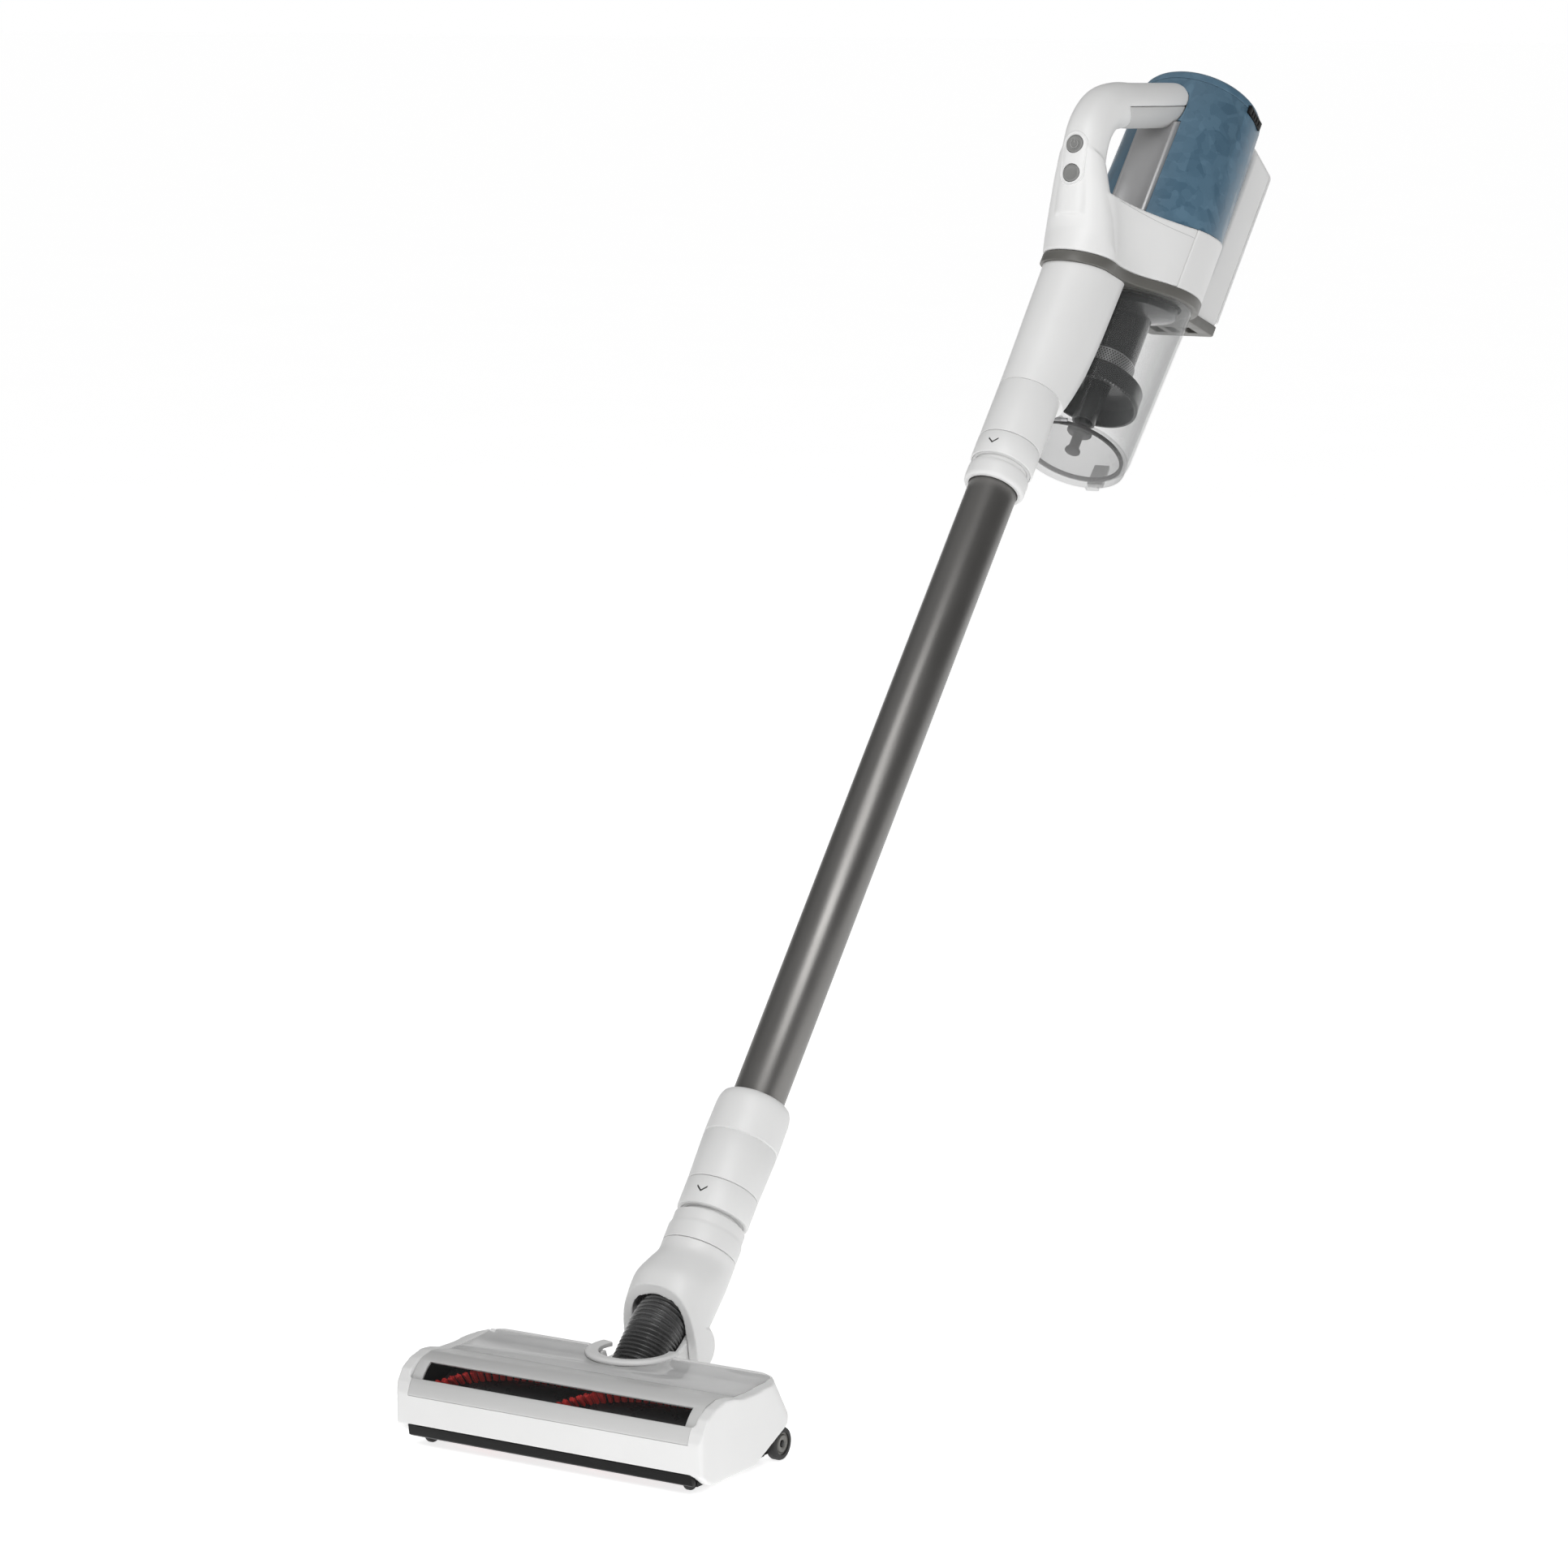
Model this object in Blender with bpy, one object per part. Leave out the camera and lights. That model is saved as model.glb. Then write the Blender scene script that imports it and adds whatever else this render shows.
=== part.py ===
"""Cordless stick vacuum cleaner with a motorised floor head.

World frame: metres, +Z up, floor at Z = 0, the head's front faces -Y, and X = 0 is the plane of symmetry.
Two working frames are used:
  head frame   x, y, z parallel to the world axes
  stick frame  x, v, u with u up along the suction tube's axis and v to the rear, leaning back by LEAN
"""
import math

import bmesh
import bpy
from mathutils import Matrix, Vector

GAP = 0.0003                       # running gap between neighbouring pieces

# Where the two frames lie
LEAN = math.radians(39.35)         # tube axis from the vertical
HEAD_ORIGIN_Y = -0.3738            # puts the world origin under the middle of the whole object
AXIS_Z = -0.0039                   # height of the tube axis above the head frame's origin

# Tube and its couplings, along u
TUBE_R, TUBE_WALL = 0.0175, 0.0012
COLLAR_R, LOW_SLEEVE_R = 0.0254, 0.0243
SLEEVE_LOW, SLEEVE_HIGH = 0.1600, 0.1797
COLLAR_SEAM, COLLAR_HIGH = 0.214, 0.246
SEAT_R = 0.0222                    # seat of a release sleeve, under its skin
NECK_LOW, NECK_TOP = 0.1353, 0.2075
LIP_LOW, LIP_HIGH = 0.7305, 0.7445
SPIGOT_R, SOCKET_R = 0.0186, 0.0189
SPIGOT_TOP = 0.7930
DUCT_R, DUCT_TOP_R = 0.0224, 0.0242
DUCT_LOW, DUCT_SEAM = 0.7484, 0.8107
UPPER_SLEEVE_LOW, UPPER_SLEEVE_HIGH = 0.7484, 0.7663

# Hand unit
BIN_V = 0.077                      # bin and motor axis behind the tube axis
FLANGE_U, FLANGE_SLOPE, FLANGE_T = 0.9273, 0.37, 0.0085
RIM_U, RIM_SLOPE = 0.9772, 0.395    # top edge of the white housing round the motor cover
COWL_REAR_V = 0.059                # seam between the front and rear housings
CAVITY_R = 0.0442
MOTOR_R_LOW, MOTOR_R_HIGH, MOTOR_WALL = 0.0485, 0.0460, 0.0022
CAP_U, CAP_TOP = 1.1162, 1.1320
SPINE_HALF, SPINE_V0, SPINE_V1 = 0.0152, 0.0290, 0.0343
BAR_U, BAR_SLOPE = 1.0655, 0.79    # centre line of the handle's top bar, u = BAR_U + BAR_SLOPE v
HANDLE_HALF_X, HANDLE_HALF_D = 0.0148, 0.0165
BATTERY_V0, BATTERY_V1 = 0.1285, 0.1610
BATTERY_TOP, BATTERY_HALF, BATTERY_CORNER = 1.1290, 0.0250, 0.0075
DOOR_T, SCREW_U = 0.0022, 1.1160
BUTTON_R = 0.0064
BUTTON_NORMAL = (-0.909, -0.416)   # outward, in (v, u)
BUTTON_CENTRES = {"mode_button": (-0.0520, 0.9655), "power_button": (-0.0612, 0.9840)}
LATCH_V0, LATCH_V1, LATCH_U0, LATCH_U1 = 0.0660, 0.0880, 1.1120, 1.1185
FRONT_R, REAR_R = 0.0268, 0.0500   # flange outline: front arc and rear arc

# Dust bin and cyclone, along u
BIN_TOP_R, BIN_LOW_R, BIN_WALL, BIN_LOW = 0.0458, 0.0415, 0.0020, 0.8193
LID_LOW, LID_HIGH, LID_R = 0.8120, 0.8190, 0.0405
HINGE_V, HINGE_U = 0.0367, 0.8165
CYCLONE_R, CUP_R = 0.0206, 0.0340
CUP_LOW, CUP_HIGH, SHOULDER_U = 0.8604, 0.8764, 0.8890

# Elbow and its pitch pivot
PIVOT_U, PIVOT_V = 0.0720, 0.0040
LOBE_R, LOBE_IN, LOBE_OUT = 0.0155, 0.0205, 0.0276
EAR_R, EAR_OUT = 0.0105, 0.0200
HOSE_R = 0.0180
HOSE_PATH = [(-0.0180, 0.0400), (-0.0165, 0.0550), (-0.0146, 0.0720), (-0.0090, 0.0900), (-0.0030, 0.1060),
             (-0.0005, 0.1200)]    # centre line in (v, u)

# Floor head, in the head frame
HEAD_HALF, CHEEK_IN = 0.11465, 0.1065
BRUSH_Y, BRUSH_Z, BRUSH_R, BRUSH_HALF = -0.0580, 0.0272, 0.0252, 0.0925
MOTOR_Y, MOTOR_Z = -0.0160, 0.0270
BRUSH_PULLEY_R, MOTOR_PULLEY_R = 0.0095, 0.0050
BELT_X0, BELT_X1 = -0.0978, -0.0948
REAR_WHEEL_Y, REAR_WHEEL_R = 0.0085, 0.0105
ROLLER_Y, ROLLER_R = -0.0742, 0.0068
RING_Y, RING_R = 0.0095, 0.0310

FINISHES = {                       # colour, roughness, metallic, alpha
    "white_plastic": ((0.86, 0.86, 0.86), 0.45, 0.0, 1.0),
    "grey_plastic": ((0.60, 0.60, 0.60), 0.45, 0.0, 1.0),
    "dark_grey_plastic": ((0.14, 0.14, 0.135), 0.45, 0.0, 1.0),
    "black_plastic": ((0.025, 0.025, 0.025), 0.5, 0.0, 1.0),
    "clear_plastic": ((0.80, 0.82, 0.83), 0.08, 0.0, 0.3),
    "blue_plastic": ((0.095, 0.19, 0.28), 0.45, 0.0, 1.0),
    "grey_aluminium": ((0.32, 0.31, 0.30), 0.35, 1.0, 1.0),
    "steel": ((0.55, 0.55, 0.56), 0.3, 1.0, 1.0),
    "rubber": ((0.03, 0.03, 0.03), 0.8, 0.0, 1.0),
    "filter_felt": ((0.75, 0.74, 0.70), 0.95, 0.0, 1.0),
    "red_bristle": ((0.55, 0.03, 0.03), 0.8, 0.0, 1.0),
    "green_board": ((0.03, 0.20, 0.08), 0.6, 0.0, 1.0),
    "cell_wrap": ((0.10, 0.35, 0.45), 0.5, 0.0, 1.0),
}


# ---------------------------------------------------------------- helpers

def clear_scene():
    for obj in list(bpy.data.objects):
        bpy.data.objects.remove(obj, do_unlink=True)


def make_frame(name, location, lean):
    empty = bpy.data.objects.new(name, None)
    bpy.context.collection.objects.link(empty)
    empty.location = location
    empty.rotation_euler = (-lean, 0.0, 0.0)
    return empty


def make_material(name, finish):
    colour, roughness, metallic, alpha = FINISHES[finish]
    material = bpy.data.materials.new(name)
    material.use_nodes = True
    shader = material.node_tree.nodes["Principled BSDF"]
    shader.inputs["Base Color"].default_value = (*colour, 1.0)
    shader.inputs["Roughness"].default_value = roughness
    shader.inputs["Metallic"].default_value = metallic
    shader.inputs["Alpha"].default_value = alpha
    return material


def add_object(name, bm, frame, pivot):
    """An object in a frame, with its own origin at pivot; bm is in the frame's coordinates."""
    bmesh.ops.recalc_face_normals(bm, faces=bm.faces)
    bm.transform(Matrix.Translation(-Vector(pivot)))
    mesh = bpy.data.meshes.new(name)
    bm.to_mesh(mesh)
    bm.free()
    obj = bpy.data.objects.new(name, mesh)
    bpy.context.collection.objects.link(obj)
    obj.parent = frame
    obj.location = pivot
    return obj


def add_node(name, bm, frame, finish, pivot=(0.0, 0.0, 0.0)):
    obj = add_object(name, bm, frame, pivot)
    obj.data.shade_smooth()
    obj.data.set_sharp_from_angle(angle=math.radians(35))
    obj.data.materials.append(make_material(name, finish))
    return obj


def combine(target, bm, frame, operation="DIFFERENCE"):
    """Cut, join or intersect a node with a hidden tool shape."""
    tool = add_object(target.name + "_tool", bm, frame, (0.0, 0.0, 0.0))
    tool.hide_render = True
    tool.display_type = "WIRE"
    modifier = target.modifiers.new(operation.lower(), "BOOLEAN")
    modifier.operation = operation
    modifier.solver = "EXACT"
    modifier.object = tool


def skin(loops, closed=False):
    """Faces between loops of equal length; a one-point loop closes to a tip, end loops are capped."""
    bm = bmesh.new()
    rings = [[bm.verts.new(point) for point in loop] for loop in loops]
    pairs = list(zip(rings, rings[1:]))
    if closed:
        pairs.append((rings[-1], rings[0]))
    for low, high in pairs:
        count = max(len(low), len(high))
        for i in range(count):
            j = (i + 1) % count
            corners = [low[i % len(low)], low[j % len(low)], high[j % len(high)], high[i % len(high)]]
            bm.faces.new(list(dict.fromkeys(corners)))
    if not closed:
        for ring in (rings[0], rings[-1]):
            if len(ring) > 2:
                bm.faces.new(ring)
    return bm


def circle(radius, centre=(0.0, 0.0), count=32):
    return [(centre[0] + radius * math.sin(2 * math.pi * i / count),
             centre[1] - radius * math.cos(2 * math.pi * i / count)) for i in range(count)]


def turned(profile, centre=(0.0, 0.0), count=32, closed=False):
    """Solid of revolution about the third axis; profile is (radius, height) from one end to the other."""
    loops = []
    for radius, height in profile:
        ring = circle(radius, centre, count) if radius > 0 else [centre]
        loops.append([(a, b, height) for a, b in ring])
    return skin(loops, closed)


def turned_x(profile, centre, count=24, closed=False):
    """Solid of revolution about the first axis; profile is (radius, x), centre is (second, third)."""
    loops = []
    for radius, x in profile:
        ring = circle(radius, centre, count) if radius > 0 else [centre]
        loops.append([(x, a, b) for a, b in ring])
    return skin(loops, closed)


def at_height(outline, height):
    """Lift a flat outline to a height, a number or a function of its two coordinates."""
    return [(a, b, height(a, b) if callable(height) else height) for a, b in outline]


def prism(outline, low, high):
    return skin([at_height(outline, low), at_height(outline, high)])


def prism_x(outline, x0, x1):
    """Outline in the second and third axes, extruded along the first."""
    return skin([[(x, a, b) for a, b in outline] for x in (x0, x1)])


def box(x0, x1, y0, y1, z0, z1):
    return prism([(x0, y0), (x1, y0), (x1, y1), (x0, y1)], z0, z1)


def arc(centre, radius, start, end, count):
    """Points on an arc, angles in degrees from the first axis towards the second."""
    points = []
    for i in range(count + 1):
        angle = math.radians(start + (end - start) * i / count)
        points.append((centre[0] + radius * math.cos(angle), centre[1] + radius * math.sin(angle)))
    return points


def rounded_rectangle(x0, x1, y0, y1, low_r, high_r, steps=4):
    """Corners at y0 have radius low_r, corners at y1 have radius high_r."""
    return (arc((x1 - low_r, y0 + low_r), low_r, -90, 0, steps)
            + arc((x1 - high_r, y1 - high_r), high_r, 0, 90, steps)
            + arc((x0 + high_r, y1 - high_r), high_r, 90, 180, steps)
            + arc((x0 + low_r, y0 + low_r), low_r, 180, 270, steps))


def smooth_path(points, steps):
    """Catmull-Rom curve through the points."""
    knots = [Vector(p) for p in points]
    knots = [2 * knots[0] - knots[1]] + knots + [2 * knots[-1] - knots[-2]]
    path = []
    for a, b, c, d in zip(knots, knots[1:], knots[2:], knots[3:]):
        for i in range(steps):
            t = i / steps
            path.append(0.5 * (2 * b + (c - a) * t + (2 * a - 5 * b + 4 * c - d) * t * t
                               + (3 * b - a - 3 * c + d) * t ** 3))
    path.append(knots[-2])
    return path


def sweep(path, half_x, half_d, count=16, power=2.4):
    """Rounded section along a path of (v, u) points in the plane of symmetry."""
    loops = []
    for i, point in enumerate(path):
        tangent = (path[min(i + 1, len(path) - 1)] - path[max(i - 1, 0)]).normalized()
        loop = []
        for k in range(count):
            angle = 2 * math.pi * k / count
            side = math.copysign(abs(math.sin(angle)) ** (2 / power), math.sin(angle)) * half_x
            depth = math.copysign(abs(math.cos(angle)) ** (2 / power), math.cos(angle)) * half_d
            loop.append((side, point[0] - tangent[1] * depth, point[1] + tangent[0] * depth))
        loops.append(loop)
    return skin(loops)


def keyhole(front_r, rear_r, waist_r, front_v=0.0):
    """Right half of the housing outline, front to rear: front arc, concave waist, start of the rear arc."""
    a, b, apart = front_r + waist_r, rear_r + waist_r, BIN_V - front_v
    waist_v = (a * a - b * b + apart * apart) / (2 * apart)
    waist_x = math.sqrt(a * a - waist_v * waist_v)
    front_end = math.degrees(math.atan2(waist_v, waist_x))
    rear_start = math.degrees(math.atan2(waist_v - apart, waist_x))
    points = arc((0.0, front_v), front_r, -90, front_end, 9)
    points += arc((waist_x, front_v + waist_v), waist_r, front_end + 180, 180 + rear_start, 6)[1:]
    return points, rear_start


def full_outline(front_r, rear_r, waist_r, slab_half, slab_v):
    """Closed housing outline: front arc, waist, rear arc, and the battery slab at the back."""
    right, rear_start = keyhole(front_r, rear_r, waist_r)
    slab_end = math.degrees(math.acos(slab_half / rear_r))
    right += arc((0.0, BIN_V), rear_r, rear_start, slab_end, 9)[1:]
    right += arc((slab_half - 0.004, slab_v - 0.004), 0.004, 0, 90, 3)
    return right + [(-x, v) for x, v in reversed(right) if abs(x) > 1e-9]


def flange_top(x, v):
    return FLANGE_U + FLANGE_SLOPE * v


def flange_low(x, v):
    return flange_top(x, v) - FLANGE_T


def bin_plane(x, v):
    return flange_low(x, v) - GAP


def housing_low(x, v):
    return flange_top(x, v) + GAP


def rim_top(x, v):
    return RIM_U + RIM_SLOPE * v


def bar_point(v, above=0.0):
    """A point (v, u) on the handle bar's centre line, or square above it."""
    length = math.hypot(1.0, BAR_SLOPE)
    return (v - above * BAR_SLOPE / length, BAR_U + BAR_SLOPE * v + above / length)


# ---------------------------------------------------------------- hand unit

def cowl_level(t, front_r, front_v, waist_r):
    """Outline of the front housing at a share t of its height; its front leans towards the handle."""
    right, rear_start = keyhole(front_r, 0.0495, waist_r, front_v)
    rear_end = math.degrees(math.asin((COWL_REAR_V - BIN_V) / 0.0495))
    right += arc((0.0, BIN_V), 0.0495, rear_start, rear_end, 2)[1:]
    outline = right + [(-x, v) for x, v in reversed(right) if abs(x) > 1e-9]
    return at_height(outline, lambda x, v: housing_low(x, v) + t * (rim_top(x, v) - housing_low(x, v)))


def build_housings(stick):
    """White front cowl with the handle loop, its grip inset, and the rear housing with the battery case."""
    loops = []
    for t, front_r, front_v, waist_r in ((0.0, 0.0260, 0.0, 0.045), (0.35, 0.0256, -0.0060, 0.060),
                                         (0.7, 0.0245, -0.0150, 0.100), (1.0, 0.0233, -0.0240, 0.160)):
        loops.append(cowl_level(t, front_r, front_v, waist_r))
    front = add_node("front_housing", skin(loops), stick, "white_plastic")
    shoulder = [at_height(circle(0.0258, (0.0, -0.0020)), lambda x, v: housing_low(x, v) - 0.003)]
    for radius, v, u in ((0.0266, -0.0068, 0.9330), (0.0245, -0.0180, 0.9500), (0.0210, -0.0320, 0.9675),
                         (0.0170, -0.0450, 0.9840)):
        shoulder.append(at_height(circle(radius, (0.0, v)), u))
    combine(front, skin(shoulder), stick, "UNION")
    below = [(-0.06, -0.08), (0.06, -0.08), (0.06, 0.06), (-0.06, 0.06)]
    combine(front, prism(below, 0.88, lambda x, v: housing_low(x, v) + 0.00003), stick)
    path = smooth_path([(-0.0250, 0.9470), (-0.0375, 0.9715), (-0.0465, 0.9905), (-0.0495, 1.008),
                        (-0.0445, 1.0260), (-0.0310, 1.0415), bar_point(-0.012),
                        bar_point(SPINE_V1 + 0.004)], 2)
    combine(front, sweep(path, HANDLE_HALF_X, HANDLE_HALF_D), stick, "UNION")
    combine(front, box(-0.06, 0.06, SPINE_V1, 0.058, 1.02, 1.13), stick)
    combine(front, turned([(CAVITY_R, 0.85), (CAVITY_R, 1.02)], (0.0, BIN_V)), stick)
    combine(front, turned([(0.0175, 0.90), (0.0175, 0.952)]), stick)
    combine(front, box(-0.011, 0.011, 0.0, 0.045, 0.949, 0.963), stick)
    grip_cut = [bar_point(-0.034), bar_point(0.040), bar_point(0.040, -0.03), bar_point(-0.020, -0.03)]
    combine(front, prism_x(grip_cut, -0.02, 0.02), stick)
    for centre in BUTTON_CENTRES.values():
        combine(front, button_shape(centre, BUTTON_R + GAP, 0.0078, 0.004), stick)

    grip_path = smooth_path([(-0.0445, 1.0260), (-0.0310, 1.0415), bar_point(-0.012), bar_point(0.040)], 3)
    grip = add_node("grip_inset", sweep(grip_path, HANDLE_HALF_X - 0.0006, HANDLE_HALF_D - 0.0004), stick,
                    "grey_plastic")
    grip_keep = [bar_point(-0.0335, -GAP), bar_point(0.036, -GAP), bar_point(0.036, -0.03),
                 bar_point(-0.0195, -0.03)]
    combine(grip, prism_x(grip_keep, -0.02, 0.02), stick, "INTERSECT")
    combine(grip, box(-0.02, 0.02, SPINE_V0 - GAP, 0.05, 1.0, 1.12), stick)

    rear = add_node("rear_housing", prism(circle(0.0495, (0.0, BIN_V), 40), housing_low, rim_top), stick,
                    "white_plastic")
    slab_back = BATTERY_V1 - DOOR_T - GAP
    slab = rounded_rectangle(-BATTERY_HALF, BATTERY_HALF, 0.112, slab_back, 0.002, 0.002, 2)
    combine(rear, prism(slab, housing_low, 1.012), stick, "UNION")
    case = rounded_rectangle(-BATTERY_HALF, BATTERY_HALF, BATTERY_V0, slab_back - 0.00005, 0.004, 0.002, 3)
    combine(rear, prism(case, 1.000, BATTERY_TOP), stick, "UNION")
    cowl_zone = [(-0.06, -0.01), (0.06, -0.01), (0.06, COWL_REAR_V + GAP), (-0.06, COWL_REAR_V + GAP)]
    combine(rear, prism(cowl_zone, 0.88, lambda x, v: rim_top(x, v) + GAP), stick)
    combine(rear, turned([(0.0448, 0.85), (0.0448, 1.06)], (0.0, BIN_V), 40), stick)
    combine(rear, box(-0.0210, 0.0210, 0.1308, 0.1700, 0.9950, 1.1265), stick)
    corner = arc((BATTERY_HALF - BATTERY_CORNER, BATTERY_TOP - BATTERY_CORNER), BATTERY_CORNER - 0.00002,
                 -5, 95, 6)
    corner += [(BATTERY_HALF - BATTERY_CORNER, 1.14), (BATTERY_HALF + 0.01, 1.14),
               (BATTERY_HALF + 0.01, BATTERY_TOP - BATTERY_CORNER)]
    for side in (-1, 1):
        combine(rear, skin([[(side * x, v, u) for x, u in corner] for v in (0.12, 0.17)]), stick)
    combine(rear, rear_corner(), stick)


def rear_corner():
    """Tool that rounds the case's top edge at the rear."""
    edge = arc((BATTERY_V1 - BATTERY_CORNER, BATTERY_TOP - BATTERY_CORNER), BATTERY_CORNER, -5, 95, 8)
    edge += [(BATTERY_V1 - BATTERY_CORNER, 1.14), (BATTERY_V1 + 0.01, 1.14),
             (BATTERY_V1 + 0.01, BATTERY_TOP - BATTERY_CORNER)]
    return prism_x(edge, -0.04, 0.04)


def build_battery(stick):
    """Cells, control board and screwed door of the case behind the motor."""
    outline = rounded_rectangle(-BATTERY_HALF, BATTERY_HALF, 0.990, BATTERY_TOP, 0.0003, BATTERY_CORNER, 5)
    door = skin([[(x, v, u) for x, u in outline] for v in (BATTERY_V1 - DOOR_T, BATTERY_V1)])
    door = add_node("battery_door", door, stick, "white_plastic")
    combine(door, disc_v(0.0029, BATTERY_V1 - 0.0016, BATTERY_V1 + 0.01, (0.0, SCREW_U)), stick)
    combine(door, rear_corner(), stick)
    screw = disc_v(0.0025, BATTERY_V1 - 0.0013, BATTERY_V1 - 0.0002, (0.0, SCREW_U))
    add_node("door_screw", screw, stick, "steel")
    for index in range(4):
        centre = (0.0098 * (-1 if index % 2 else 1), 0.1465)
        low = 0.9965 + 0.0653 * (index // 2)
        cell = turned([(0.0, low), (0.0085, low), (0.0092, low + 0.001), (0.0092, low + 0.0635),
                       (0.0030, low + 0.0640), (0.0, low + 0.0645)], centre, 16)
        add_node(f"battery_cell_{index + 1}", cell, stick, "cell_wrap")
    add_node("circuit_board", box(-0.0190, 0.0190, 0.1312, 0.1328, 1.005, 1.095), stick, "green_board")


def disc_v(radius, v0, v1, centre, count=12):
    """Short cylinder along v; centre is (x, u)."""
    ring = circle(radius, centre, count)
    return skin([[(x, v, u) for x, u in ring] for v in (v0, v1)])


def button_shape(centre, radius, inner, proud, count=20):
    """Cylinder square to the handle's sloping front, from a depth inside to proud of its surface."""
    outward = Vector((0.0, *BUTTON_NORMAL))
    across = Vector((0.0, -BUTTON_NORMAL[1], BUTTON_NORMAL[0]))
    side = Vector((1.0, 0.0, 0.0))
    loops = []
    for depth in (-inner, proud):
        middle = Vector((0.0, *centre)) + outward * depth
        loops.append([middle + side * a + across * b for a, b in circle(radius, (0.0, 0.0), count)])
    return skin(loops)


def build_buttons(stick):
    for name, centre in BUTTON_CENTRES.items():
        add_node(name, button_shape(centre, BUTTON_R, 0.0058, 0.0008), stick, "grey_plastic", (0.0, *centre))


def build_flange(stick):
    """Dark grey seat plate under the housings, with the tube port, the bin port and three slots."""
    plate = prism(full_outline(FRONT_R, REAR_R, 0.045, 0.0265, BATTERY_V1), flange_low, flange_top)
    flange = add_node("bin_flange", plate, stick, "dark_grey_plastic")
    combine(flange, turned([(0.0175, 0.85), (0.0175, 0.97)]), stick)
    combine(flange, turned([(0.0375, 0.85), (0.0375, 1.02)], (0.0, BIN_V)), stick)
    for x in (-0.013, 0.0, 0.013):
        combine(flange, box(x - 0.004, x + 0.004, 0.138, 0.152, 0.93, 1.02), stick)


def build_duct(stick):
    """White suction duct in front of the bin, with a saddle towards the bin and the tube's socket."""
    loops = []
    for u, radius, saddle in ((DUCT_SEAM, DUCT_R, 0.0060), (0.828, 0.0226, 0.0120), (0.850, 0.0230, 0.0165),
                              (0.885, 0.0237, 0.0185), (0.909, DUCT_TOP_R, 0.0190)):
        ring = []
        for a, b in circle(radius, (0.0, 0.0), 32):
            ring.append((a, b + (saddle if b > 0.001 else 0.0), u))
        loops.append(ring)
    loops[-1] = [(a, b, bin_plane(a, b)) for a, b, _ in loops[-1]]
    straight = [(SEAT_R - 0.0012, DUCT_LOW), (SEAT_R - 0.0012, UPPER_SLEEVE_HIGH + GAP),
                (DUCT_R, UPPER_SLEEVE_HIGH + GAP), (DUCT_R, DUCT_SEAM - 0.0008), (DUCT_R - 0.0004, DUCT_SEAM)]
    low = [[(a, b, u) for a, b in circle(r)] for r, u in straight]
    duct = add_node("inlet_duct", skin(low + loops), stick, "white_plastic")
    combine(duct, turned([(SOCKET_R, 0.70), (SOCKET_R, SPIGOT_TOP + GAP), (0.0165, SPIGOT_TOP + 0.004),
                          (0.0165, 0.97)]), stick)
    combine(duct, turned([(BIN_TOP_R + 0.0006, 0.70), (BIN_TOP_R + 0.0006, 0.99)], (0.0, BIN_V), 48), stick)


def build_sleeve(name, low, high, radius, stick):
    """Release sleeve around a coupling's mouth."""
    inner = SEAT_R - 0.0012 + GAP
    profile = [(inner, low), (radius - 0.0007, low), (radius, low + 0.0008), (radius, high - 0.0008),
               (radius - 0.0005, high), (inner, high)]
    return add_node(name, turned(profile, closed=True), stick, "white_plastic", (0.0, 0.0, low))


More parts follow.
